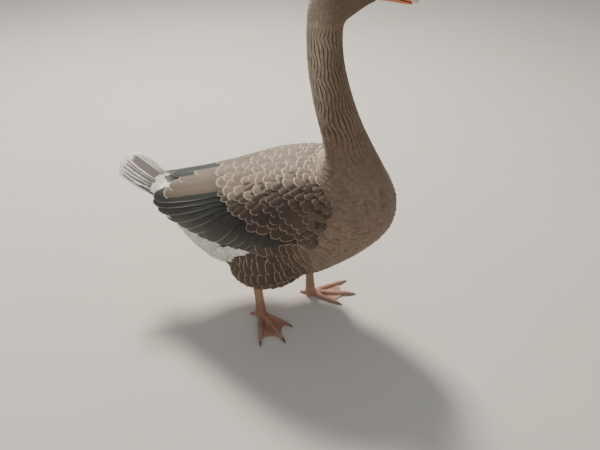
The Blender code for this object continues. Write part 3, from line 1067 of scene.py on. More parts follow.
@dataclass(frozen=True)
class FeatherFinish:
    """Vaned feathers in the piece's own colours with painted shade towards each root: barbs across the
    blade, a shaft and a paler edge.
    """

    name: str
    roughness: float = 0.62
    sheen: float = 0.12
    barb_gap: float = 0.0011
    barb_depth: float = 0.00012
    shaft: float = 0.0
    root_shade: float = 0.62

    def make(self) -> bpy.types.Material:
        """Mixes the finish.

        Returns:
            The material.
        """
        material, sheet, principled = shader(self.name)

        def value(name: str, output: str = "Vector") -> Socket:
            """One of the piece's own values."""
            return sheet.add("ShaderNodeAttribute", attribute_name=name).outputs[output]

        along, across, edge = sheet.split(value("vane"))
        length, half, _ = sheet.split(value("size"))
        seed, band, strength = sheet.split(value("traits"))
        side = sheet.math("ABSOLUTE", across)
        # The barbs slant back from the shaft, so their lines run by length less a share of the width.
        slant = sheet.math("MULTIPLY", half, -1.1)
        barbs = sheet.math("MULTIPLY_ADD", side, slant, sheet.math("MULTIPLY", along, length))
        wander = sheet.math("MULTIPLY", noise(sheet, 90.0, 2.0), 9.0)
        barbs = sheet.math("MULTIPLY_ADD", barbs, 2 * math.pi / self.barb_gap, wander)
        barbs = sheet.math("MULTIPLY_ADD", sheet.math("SINE", barbs), 0.5, 0.5)
        ragged = self.varied(sheet, noise(sheet, 420.0, 2.0), 0.32, edge)
        rim = sheet.math("MULTIPLY", sheet.step(ragged, band, sheet.math("ADD", band, 0.22)), strength)
        rim = sheet.math("MULTIPLY", rim, sheet.step(along, 0.20, 0.62))
        tone = value("tone", "Color")
        # Painted shade: each blade darkens towards its root, where the feather above would shade it.
        ground = sheet.blend(sheet.step(along, 0.0, 0.75), sheet.scaled(tone, self.root_shade), tone)
        mottle = self.varied(sheet, noise(sheet, 150.0), 0.55, 1.0)
        mottle = self.varied(sheet, seed, 0.22, mottle)
        mottle = self.varied(sheet, barbs, 0.14, mottle)
        ground = sheet.scaled(ground, mottle)
        if self.shaft:
            quill = sheet.math("MULTIPLY", sheet.step(side, 0.075, 0.03), self.shaft)
            ground = sheet.blend(quill, ground, sheet.scaled(ground, 0.42))
        colour = sheet.blend(rim, ground, value("fringe", "Color"))
        sheet.put(principled.inputs["Base Color"], colour)
        principled.inputs["Roughness"].default_value = self.roughness
        principled.inputs["Sheen Weight"].default_value = self.sheen
        principled.inputs["Sheen Roughness"].default_value = 0.5
        principled.inputs["Specular IOR Level"].default_value = 0.28
        relief = sheet.math("MULTIPLY_ADD", noise(sheet, 700.0, 2.0), 0.35, barbs)
        bump(sheet, principled, relief, self.barb_depth)
        return material

    def varied(self, sheet: Sheet, by: object, share: float, around: object) -> Socket:
        """A value made larger or smaller by a share of how far another lies from one half."""
        return sheet.math("MULTIPLY_ADD", sheet.math("SUBTRACT", by, 0.5), share, around)


@dataclass(frozen=True)
class SkinFinish:
    """The skin under the plumage, in the plumage's markings darkened by painted shade, with a soft downy
    grain.
    """

    name: str = "plumage_skin"
    grain: float = 900.0

    def make(self) -> bpy.types.Material:
        """Mixes the finish.

        Returns:
            The material.
        """
        material, sheet, principled = shader(self.name)
        tone = sheet.add("ShaderNodeAttribute", attribute_name="tone").outputs["Color"]
        patchy = sheet.math("MULTIPLY_ADD", noise(sheet, 60.0, 4.0), 0.5, 0.55)
        sheet.put(principled.inputs["Base Color"], sheet.scaled(tone, patchy))
        principled.inputs["Roughness"].default_value = 0.8
        principled.inputs["Sheen Weight"].default_value = 0.15
        bump(sheet, principled, noise(sheet, self.grain, 3.0), 0.0004)
        return material


@dataclass(frozen=True)
class EyeFinish:
    """The eye's wet dark surface, in the ball's own colours."""

    name: str = "wet_eye"
    roughness: float = 0.08
    wetness: float = 0.6

    def make(self) -> bpy.types.Material:
        """Mixes the finish.

        Returns:
            The material.
        """
        material, sheet, principled = shader(self.name)
        tone = sheet.add("ShaderNodeAttribute", attribute_name="tone").outputs["Color"]
        flecks = sheet.math("MULTIPLY_ADD", noise(sheet, 900.0), 0.5, 0.75)
        sheet.put(principled.inputs["Base Color"], sheet.scaled(tone, flecks))
        principled.inputs["Roughness"].default_value = self.roughness
        principled.inputs["Coat Weight"].default_value = self.wetness
        principled.inputs["Coat Roughness"].default_value = 0.03
        return material


@dataclass(frozen=True)
class HornFinish:
    """Smooth horn or scaly hide: bill, nail, claws, legs."""

    name: str
    colour: Triple
    second: Triple
    roughness: float = 0.42
    blots: float = 40.0
    scale_gap: float = 0.0
    depth: float = 0.0002
    flesh: float = 0.0

    def make(self) -> bpy.types.Material:
        """Mixes the finish.

        Returns:
            The material.
        """
        material, sheet, principled = shader(self.name)
        share = sheet.step(noise(sheet, self.blots, 4.0), 0.35, 0.7)
        colour = sheet.blend(share, linear(*self.colour), linear(*self.second))
        fine = noise(sheet, 1500.0, 2.0)
        height = fine
        # Scales are cells, darker and lower where they meet.
        if self.scale_gap:
            cells = sheet.add("ShaderNodeTexVoronoi", feature="DISTANCE_TO_EDGE")
            cells.inputs["Scale"].default_value = 1 / self.scale_gap
            sheet.put(cells.inputs["Vector"], sheet.add("ShaderNodeTexCoord").outputs["Object"])
            groove = sheet.step(cells.outputs["Distance"], 0.02, 0.22)
            height = sheet.math("MULTIPLY_ADD", fine, 0.15, groove)
            dark = sheet.math("MULTIPLY_ADD", groove, -0.45, 0.45)
            colour = sheet.blend(dark, colour, sheet.scaled(colour, 0.45))
        sheet.put(principled.inputs["Base Color"], colour)
        rough = sheet.math("MULTIPLY_ADD", fine, 0.14, self.roughness - 0.07)
        sheet.put(principled.inputs["Roughness"], rough)
        principled.inputs["Subsurface Weight"].default_value = self.flesh
        principled.inputs["Subsurface Scale"].default_value = 0.004
        bump(sheet, principled, height, self.depth)
        return material


@dataclass
class WingShell:
    """The smooth hull that the closed wings lie on.

    Each key is a cross section: its place along the bird, half width, middle's height and half height.
    """

    keys: tuple[tuple[float, float, float, float], ...] = (
        (0.175, 0.080, 0.275, 0.085),
        (0.130, 0.106, 0.275, 0.108),
        (0.085, 0.124, 0.277, 0.116),
        (0.030, 0.135, 0.277, 0.114),
        (-0.040, 0.135, 0.267, 0.106),
        (-0.110, 0.123, 0.250, 0.094),
        (-0.170, 0.102, 0.238, 0.082),
        (-0.225, 0.079, 0.232, 0.070),
        (-0.275, 0.061, 0.231, 0.054),
        (-0.325, 0.041, 0.234, 0.040),
    )

    def point(self, x: float, angle: float, side: float, depth: float = 0.0) -> np.ndarray:
        """A world point of the hull.

        Args:
            x: its place along the bird.
            angle: degrees from the top down the side.
            side: 1 for the left wing and -1 for the right.
            depth: how far inside the hull.

        Returns:
            The point.
        """
        rows = np.array(self.keys)[::-1]
        place = np.interp(x, rows[:, 0], np.arange(len(rows)))
        k = int(min(max(math.floor(place), 0), len(rows) - 2))
        t = place - k
        four = tuple(rows[min(max(n, 0), len(rows) - 1)] for n in (k - 1, k, k + 1, k + 2))
        _, wide, middle, high = curve(four, t)
        turn = math.radians(angle)
        across = side * (wide - depth) * math.sin(turn)
        return np.array((x, across, middle + (high - depth) * math.cos(turn))) + STANCE

    def angle(self, spot: np.ndarray) -> float:
        """How far down the side a world point lies.

        Args:
            spot: the point.

        Returns:
            Its angle from the top about the hull's middle, in degrees.
        """
        x, y, z = spot - STANCE
        rows = np.array(self.keys)[::-1]
        wide, middle, high = (np.interp(x, rows[:, 0], rows[:, k]) for k in (1, 2, 3))
        return math.degrees(math.atan2(abs(y) / wide, (z - middle) / high))

    def normal(self, x: float, angle: float, side: float) -> np.ndarray:
        """The hull's outward direction at a place.

        Args:
            x: its place along the bird.
            angle: degrees from the top down the side.
            side: 1 for the left wing and -1 for the right.

        Returns:
            The direction, of length one.
        """
        on = self.point(x + 0.002, angle, side) - self.point(x - 0.002, angle, side)
        down = self.point(x, angle + 1, side) - self.point(x, angle - 1, side)
        return unit(np.cross(on, down) * side)

    def bed(self, name: str, depth: float) -> bpy.types.Object:
        """The hull as a surface for vanes to lie on.

        Args:
            name: the object's name.
            depth: how far inside the hull it lies.

        Returns:
            The new object, hidden from renders.
        """
        xs = np.linspace(0.172, -0.345, 90)
        turns = np.linspace(-178, 178, 120)
        points = [self.point(x, abs(a), 1 if a > 0 else -1, depth) for x in xs for a in turns]
        wide = len(turns)
        starts = [i * wide + j for i in range(len(xs) - 1) for j in range(wide - 1)]
        faces = [(at, at + 1, at + wide + 1, at + wide) for at in starts]
        mesh = bpy.data.meshes.new(name)
        mesh.from_pydata(points, [], faces)
        mesh.update()
        half_way = len(points) // 2
        if normals(mesh)[half_way] @ (points[half_way] - STANCE - (0, 0, 0.25)) < 0:
            mesh.flip_normals()
        return placed(name, mesh, True)


@dataclass
class Skin:
    """The one skin over the body, neck, head and thighs, and the run of the neck's furrows over it."""

    depth_wing: float = 0.0048
    depth_body: float = 0.0042
    depth_neck: float = 0.0036
    depth_head: float = 0.0012
    furrows: int = 30
    furrow_depth: float = 0.0012
    furrow_shade: float = 0.38
    trial: float = 0.0005
    least_turn: float = 200.0
    most_shift: float = 0.005

    def depth(self, points: np.ndarray) -> np.ndarray:
        """How far inside the solids the skin lies.

        Args:
            points: world points of their surface, one a row.

        Returns:
            A depth for each: least on the feet's edge and the face, most on the body.
        """
        x, _, z = (points - STANCE).T
        deep = self.depth_body + (self.depth_neck - self.depth_body) * ease(0.36, 0.44, z)
        deep = deep + (self.depth_head - deep) * ease(0.62, 0.665, z)
        deep = deep * ease(0.162, 0.130, x) ** (z > 0.62)
        return deep * (0.35 + 0.65 * ease(0.104, 0.150, z))

    def furrowed(self, points: np.ndarray) -> np.ndarray:
        """How fully the furrows are there at points, from 0 off the neck to 1."""
        x, _, z = (points - STANCE).T
        return ease(0.395, 0.465, z + 0.25 * (x - 0.1)) * ease(0.648, 0.615, z)

    def phase(self, points: np.ndarray) -> np.ndarray:
        """How far round the furrows' count points lie, in radians.

        Args:
            points: world points, one a row.

        Returns:
            The phase of the furrows' wave: a crest lies a quarter turn past each full one.
        """
        x, y, z = (points - STANCE).T
        heights = (0.33, 0.40, 0.478, 0.5485, 0.613, 0.66)
        middle = np.interp(z, heights, (0.128, 0.124, 0.0927, 0.071, 0.064, 0.072))
        turn = np.arctan2(y, middle - x)
        wave = 0.10 * np.sin(z * 95 + 2 * turn) + 0.05 * np.sin(z * 173 - 3 * turn)
        return self.furrows * (turn + 0.5 * wave) + 0.9 * np.sin(z * 41 + turn)

    def to_crest(
        self, spot: np.ndarray, face: np.ndarray, lie: np.ndarray
    ) -> tuple[np.ndarray, np.ndarray, float]:
        """Moves a root to the nearest crest and turns it along the furrow.

        Args:
            spot: the root's world point.
            face: the way out of the surface.
            lie: the way the feather points.

        Returns:
            The moved point, the turned way and the furrows' width there.
        """
        beside = np.cross(face, lie)
        trials = np.array((spot, spot + lie * self.trial, spot + beside * self.trial))
        here, onward, over = self.phase(trials)
        hold = float(self.furrowed(spot[None])[0])
        across = (over - here) / self.trial
        if abs(across) < self.least_turn:
            return spot, lie, 0.006
        off = (0.5 * math.pi - here + math.pi) % (2 * math.pi) - math.pi
        turned = unit(lie - beside * hold * (onward - here) / self.trial / across)
        shift = float(np.clip(off / across, -self.most_shift, self.most_shift))
        return spot + beside * shift * hold, turned, 2 * math.pi / abs(across)

    def build(
        self, solids: Solids, wings: Surface, plumage: Plumage, finish: bpy.types.Material
    ) -> None:
        """Makes the skin, which also backs the wings' plumage.

        Args:
            solids: the solids to wrap.
            wings: the wings' own surface.
            plumage: the markings.
            finish: the skin's material.
        """
        skin = solids.wrapped("skin", FLESH + BACKED, 10)
        points = corners(skin.data)
        winged = np.array([wings.near(p, 0.004) for p in points])
        furrowed = self.furrowed(points)
        sunk = self.depth(points) + self.furrow_depth * furrowed
        sunk[winged] = self.depth_wing
        sink(skin.data, sunk)
        # What shows between the feathers is shaded skin, darkest in the neck's furrows.
        tones = plumage.at(points) * (0.66 - self.furrow_shade * furrowed)[:, None]
        # Painted shade: under the wings' feathers the skin takes a darkened covert colour.
        tones[winged] = 0.75 * plumage.tone("covert")
        tones[points[:, 0] < STANCE[0] - 0.215] = plumage.tone("white")
        write_colour(skin.data, tones)
        give(skin, finish)
        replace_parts(skin, *FLESH)


@dataclass(frozen=True)
class Lay:
    """How the feathers of one region are set: their spacing, size, rise and edges."""

    name: str
    slot: str
    cut: Cut
    gap_along: float
    gap_across: float
    size: tuple[float, float]
    rise: Triple
    tip: str
    band: float
    strength: float
    sweep: float = 0.0
    spread: float = 0.10
    swing: float = 0.09


LAYS = (
    Lay(
        name="head_feathers", slot="neck_plumage", cut=Cut.TUFT,
        gap_along=0.0030, gap_across=0.0026, size=(0.0068, 0.0034), rise=(0.0001, 0.0010, 0.0003),
        tip="neck_tip", band=0.55, strength=0.25,
        spread=0.15, swing=0.12,
    ),
    Lay(
        name="neck_feathers", slot="neck_plumage", cut=Cut.TUFT,
        gap_along=0.0056, gap_across=0.0036, size=(0.0150, 0.0070), rise=(0.0001, 0.0010, 0.0016),
        tip="neck_tip", band=0.55, strength=0.12,
        spread=0.10, swing=0.04,
    ),
    Lay(
        name="breast_feathers", slot="grey_plumage", cut=Cut.SMALL,
        gap_along=0.0092, gap_across=0.0090, size=(0.0240, 0.0200), rise=(0.0003, 0.0034, 0.0008),
        tip="pale_tip", band=0.72, strength=0.20,
    ),
    Lay(
        name="mantle_feathers", slot="grey_plumage", cut=Cut.BLUNT,
        gap_along=0.0105, gap_across=0.0125, size=(0.0260, 0.0230), rise=(0.0003, 0.0036, 0.0012),
        tip="scapular_tip", band=0.70, strength=0.80,
    ),
    Lay(
        name="flank_feathers", slot="grey_plumage", cut=Cut.BLUNT,
        gap_along=0.0160, gap_across=0.0330, size=(0.0480, 0.0500), rise=(0.0006, 0.0046, 0.0034),
        tip="pale_tip", band=0.80, strength=0.75,
        sweep=0.06, spread=0.08, swing=0.06,
    ),
    Lay(
        name="vent_feathers", slot="white_plumage", cut=Cut.LOOSE,
        gap_along=0.0110, gap_across=0.0110, size=(0.0330, 0.0230), rise=(0.0014, 0.0080, 0.0012),
        tip="white", band=0.80, strength=0.30,
        spread=0.15, swing=0.14,
    ),
    Lay(
        name="rump_feathers", slot="white_plumage", cut=Cut.SMALL,
        gap_along=0.0100, gap_across=0.0100, size=(0.0260, 0.0190), rise=(-0.0006, 0.0012, 0.0008),
        tip="white", band=0.80, strength=0.30,
        spread=0.12, swing=0.10,
    ),
)


@dataclass
class BodyPlumage:
    """The feathers of head, neck and body, in staggered rows along lines from head to tail."""

    meridians: int = 132
    strides: tuple[int, ...] = (1, 2, 3, 4, 6)
    reach: float = 0.17
    tucked: float = 0.30
    ridge_share: float = 0.80
    ridge_light: float = 1.14
    over_wing: tuple[tuple[float, ...], ...] = ((0.00, 0.03, 0.07, 0.108), (0, 14, 30, 48))
    under_wing: tuple[tuple[float, ...], ...] = (
        (-0.02, 0.0, 0.007, 0.047, 0.064, 0.076, 0.088, 0.095, 0.108, 0.118),
        (180, 130, 106, 100, 97, 95, 84, 70, 48, 0),
    )
    spine: Spine = field(default_factory=Spine)

    def scale(self, kind: Region, spot: np.ndarray) -> float:
        """How large the feathers are at a spot, against the usual size of their region.

        Args:
            kind: the region.
            spot: a world point.

        Returns:
            The factor for sizes and gaps.
        """
        x, _, z = spot - STANCE
        along, sizes = {
            Region.HEAD: (x, ((0.105, 0.150), (1.0, 0.55))),
            Region.NECK: (z, ((0.36, 0.44, 0.62), (1.35, 1.0, 0.8))),
            Region.BREAST: (z, ((0.15, 0.30, 0.40), (1.15, 1.0, 0.72))),
            Region.MANTLE: (z, ((0.33, 0.42), (1.0, 0.7))),
            Region.FLANK: (x, ((-0.02, 0.04, 0.09), (1.0, 0.78, 0.52))),
        }.get(kind, (0.0, ((0.0,), (1.0,))))
        return float(np.interp(along, *sizes))

    def region(self, points: np.ndarray, white: np.ndarray) -> np.ndarray:
        """Which of the regions each point lies in.

        Args:
            points: world points, one a row.
            white: how white the plumage is at each, 0 to 1.

        Returns:
            The region's number for each.
        """
        x, y, z = (points - STANCE).T
        up_neck = z + 0.75 * (x - 0.10) + 0.010 * np.sin(95 * y + 1) + 0.006 * np.sin(230 * y)
        flank = (np.abs(y) > 0.050) & (z < 0.268) & (z > 0.118) & (x < 0.095) & (x > -0.16)
        found = np.full(len(x), Region.BREAST)
        found[(z > 0.30) & (x < 0.085)] = Region.MANTLE
        found[flank & (found == Region.BREAST)] = Region.FLANK
        found[(white > 0.5)] = Region.VENT
        found[(x < -0.205) & (z > 0.235)] = Region.RUMP
        found[(up_neck > 0.405) & (z > 0.32)] = Region.NECK
        found[z > 0.640] = Region.HEAD
        return found

    def hits(self, surface: Surface) -> tuple[np.ndarray, np.ndarray, np.ndarray]:
        """Where the lines across the body meet its surface.

        Args:
            surface: the surface that the feathers grow on.

        Returns:
            Points, normals and ways towards the tail, by meridian and step; points that miss are nan.
        """
        steps = len(self.spine.line)
        shape = (self.meridians, steps, 3)
        spots, faces, ways = np.full(shape, np.nan), np.zeros(shape), np.zeros(shape)
        for j in range(steps):
            middle, back, ahead = self.spine.plane(j)
            for i in range(self.meridians):
                turn = 2 * math.pi * (i + 0.5) / self.meridians
                way = back * math.cos(turn) + np.array((0.0, math.sin(turn), 0.0))
                met = surface.inward(middle, way, self.reach)
                if met:
                    spots[i, j], faces[i, j] = met
                ways[i, j] = -ahead
        return spots, faces, ways

    def laps_wing(self, spot: np.ndarray, shell: WingShell) -> bool:
        """Whether body feathers lie over the wing at a spot: along its front, top front and lower edge.

        Args:
            spot: a world point on the wing.
            shell: the wings' hull.

        Returns:
            True if a body feather may grow there.
        """
        x = float(spot[0] - STANCE[0])
        angle = shell.angle(spot)
        return bool(angle < np.interp(x, *self.over_wing) or angle > np.interp(x, *self.under_wing))

    def coats(
        self, surface: Surface, wings: Surface, shell: WingShell, plumage: Plumage
    ) -> list[Coat]:
        """Roots all the feathers.

        Args:
            surface: the surface that the feathers grow on.
            wings: the wings, which most of them keep off.
            shell: the wings' hull.
            plumage: the colours.

        Returns:
            One coat for each region.
        """
        chance = np.random.default_rng(SEED)
        spots, faces, ways = self.hits(surface)
        skin = Skin()
        coats = [Coat(lay.name, lay.slot, lay.cut, spread=lay.spread, swing=lay.swing) for lay in LAYS]
        flat = np.nan_to_num(spots.reshape(-1, 3))
        tones = plumage.at(flat).reshape(spots.shape)
        white = ease(0.30, 0.42, tones[:, :, 2])
        kinds = self.region(flat, white.ravel()).reshape(spots.shape[:2])
        aside = np.linalg.norm(np.roll(spots, -1, axis=0) - spots, axis=2)
        for i in range(self.meridians):
            run = {kind: chance.random() * 0.3 for kind in Region}
            for j in range(len(self.spine.line) - 2, 0, -1):
                step = np.linalg.norm(spots[i, j] - spots[i, j + 1])
                if not np.isfinite(step) or step > 0.03:
                    continue
                kind = Region(kinds[i, j])
                lay = LAYS[kind]
                spot, face = spots[i, j], faces[i, j]
                scale = self.scale(kind, spot)
                pace = step / (lay.gap_along * scale)
                run[kind] += pace
                # Only every few lines carry feathers, and every second one of those is half a gap ahead.
                lines = lay.gap_across * scale / max(aside[i, j], 1e-4)
                stride = min(self.strides, key=lambda some: abs(math.log(some / lines)))
                if i % stride:
                    continue
                ahead = 0.5 if (i // stride) % 2 else 0.0
                if math.floor(run[kind] + ahead) == math.floor(run[kind] + ahead - pace):
                    continue
                lie = ways[i, j] + np.array((0, 0, 1.0)) * lay.sweep
                lie = unit(lie - face * np.dot(lie, face))
                clear = 0.0025 if kind in (Region.VENT, Region.RUMP) else 0.004
                if wings.near(spot, clear) and not self.laps_wing(spot, shell):
                    continue
                light = 1 + (0.26 if kind is Region.BREAST else 0.16) * (chance.random() - 0.5)
                tone, width = tones[i, j] * light, lay.size[1] * scale
                if kind is Region.NECK:
                    spot, lie, ridge = skin.to_crest(spot, face, lie)
                    # Painted light: the neck's tufts sit on the furrows' crests and are made brighter than
                    # the plumage colour, against the painted shade in the grooves.
                    tone, width = tone * self.ridge_light, self.ridge_share * ridge
                strength = lay.strength
                if kind is Region.BREAST:
                    strength = strength * self.paleness(spot)
                coats[kind].root(
                    spot - lie * lay.size[0] * self.tucked,
                    lie,
                    face,
                    (lay.size[0] * scale, width),
                    tuple(np.array(lay.rise) * scale),
                    (tone, plumage.tone(lay.tip)),
                    (chance.random(), lay.band, strength),
                    ((i + 0.5) / self.meridians, j / len(self.spine.line)),
                )
        return coats

    def paleness(self, spot: np.ndarray) -> float:
        """How much of their pale tips the breast's feathers keep: less towards the neck."""
        x, _, z = spot - STANCE
        return 1 - 0.85 * float(ease(0.300, 0.360, z + 0.5 * (x - 0.10)))


@dataclass
class ThighPlumage:
    """The short feathers of one thigh, which hang down to the shank."""

    side: Side
    foot_x: float
    top: float = 0.172
    bottom: float = 0.109
    gap_down: float = 0.0072
    gap_round: float = 0.0072
    size: tuple[float, float] = (0.0185, 0.0125)

    def coat(self, surface: Surface, plumage: Plumage) -> Coat:
        """Roots this thigh's feathers.

        Args:
            surface: the surface that they grow on.
            plumage: the colours.

        Returns:
            The coat, not yet built.
        """
        chance = np.random.default_rng(SEED + 3)
        name = f"thigh_feathers_{self.side.tag}"
        coat = Coat(name, "grey_plumage", Cut.SMALL, swing=0.14, spread=0.12)
        levels = int((self.top - self.bottom) / self.gap_down)
        for row in range(levels):
            z = self.bottom + self.gap_down * (row + 0.5)
            share = (z - self.bottom) / (self.top - self.bottom)
            ahead = self.foot_x - 0.010 + 0.012 * share
            middle = np.array((ahead, self.side.value * 0.053, z)) + STANCE
            count = max(10, round(2 * math.pi * (0.018 + 0.034 * share) / self.gap_round))
            for k in range(count):
                turn = 2 * math.pi * (k + 0.5 * (row % 2)) / count
                way = np.array((math.cos(turn), math.sin(turn), 0.0))
                met = surface.outward(middle, way, 0.07)
                if met is None:
                    continue
                spot, face = met
                lie = np.array((-0.25 * share, 0.0, -1.0))
                tone = plumage.at(spot[None])[0] * (1 + 0.16 * (chance.random() - 0.5))
                scale = 0.62 + 0.38 * share
                coat.root(
                    spot + np.array((0, 0, 0.004)),
                    lie,
                    face,
                    (self.size[0] * scale, self.size[1] * scale),
                    (0.0002, 0.0026 * scale, 0.0008),
                    (tone, plumage.tone("pale_tip")),
                    (chance.random(), 0.80, 0.25),
                    (turn / (2 * math.pi) % 1.0, share),
                )
        return coat


@dataclass(frozen=True)
class CovertRow:
    """One slanted row of wing coverts: where its tips lie, and its feathers' sizes.

    Its place is where it crosses the side's middle, and top and low are the angles that it runs between.
    """

    place: float
    top: float
    low: float
    length: float
    width: float
    gap: float


COVERT_ROWS = (
    CovertRow(-0.088, 46, 92, 0.072, 0.027, 0.0165),
    CovertRow(-0.054, 44, 97, 0.074, 0.027, 0.0160),
    CovertRow(-0.022, 40, 107, 0.064, 0.025, 0.0155),
    CovertRow(0.008, 37, 109, 0.058, 0.024, 0.0150),
    CovertRow(0.036, 35, 106, 0.052, 0.022, 0.0145),
    CovertRow(0.062, 33, 103, 0.044, 0.021, 0.0140),
    CovertRow(0.086, 30, 92, 0.038, 0.019, 0.0130),
    CovertRow(0.107, 27, 70, 0.030, 0.017, 0.0120),
)


@dataclass(frozen=True)
class Quill:
    """One long feather of the closed wing: its root and tip as places on the hull, and its width."""

    root: tuple[float, float]
    tip: tuple[float, float]
    width: float


SECONDARIES = (
    Quill((0.030, 92), (-0.030, 117), 0.026),
    Quill((0.015, 90), (-0.048, 117.5), 0.027),
    Quill((0.002, 87), (-0.062, 117), 0.028),
    Quill((-0.012, 84), (-0.076, 115), 0.029),
    Quill((-0.025, 80), (-0.092, 110), 0.030),
    Quill((-0.036, 74), (-0.113, 108), 0.031),
    Quill((-0.045, 67), (-0.139, 106), 0.034),
)
PRIMARIES_SPREAD = (
    Quill((-0.050, 62), (-0.163, 105), 0.038),
    Quill((-0.055, 59), (-0.192, 101), 0.036),
    Quill((-0.060, 56), (-0.219, 100), 0.035),
    Quill((-0.064, 53), (-0.248, 99), 0.034),
    Quill((-0.068, 50), (-0.273, 91), 0.034),
    Quill((-0.072, 46), (-0.290, 79), 0.036),
    Quill((-0.076, 40), (-0.292, 64), 0.040),
)
PRIMARIES_CROSSED = (
    Quill((-0.050, 62), (-0.185, 88), 0.040),
    Quill((-0.058, 60), (-0.225, 64), 0.038),
    Quill((-0.070, 58), (-0.250, 46), 0.034),
    Quill((-0.090, 56), (-0.268, 35), 0.032),
    Quill((-0.100, 50), (-0.286, 25), 0.032),
    Quill((-0.105, 44), (-0.298, 15), 0.032),
    Quill((-0.100, 32), (-0.296, 17), 0.036),
    Quill((-0.097, 22), (-0.290, 9), 0.038),
    Quill((-0.094, 12), (-0.280, 1), 0.038),
    Quill((-0.090, 3), (-0.262, -7), 0.038),
)
TERTIALS_LOWER = (
    Quill((-0.080, 33), (-0.262, 47), 0.050),
    Quill((-0.080, 24), (-0.255, 31), 0.042),
    Quill((-0.075, 15), (-0.238, 17), 0.038),
    Quill((-0.065, 6), (-0.205, 6), 0.036),
)
TERTIALS_UPPER = (
    Quill((-0.080, 35), (-0.240, 44), 0.046),
    Quill((-0.078, 25), (-0.205, 29), 0.042),
    Quill((-0.070, 14), (-0.172, 15), 0.038),
    Quill((-0.060, 5), (-0.150, 5), 0.034),
)


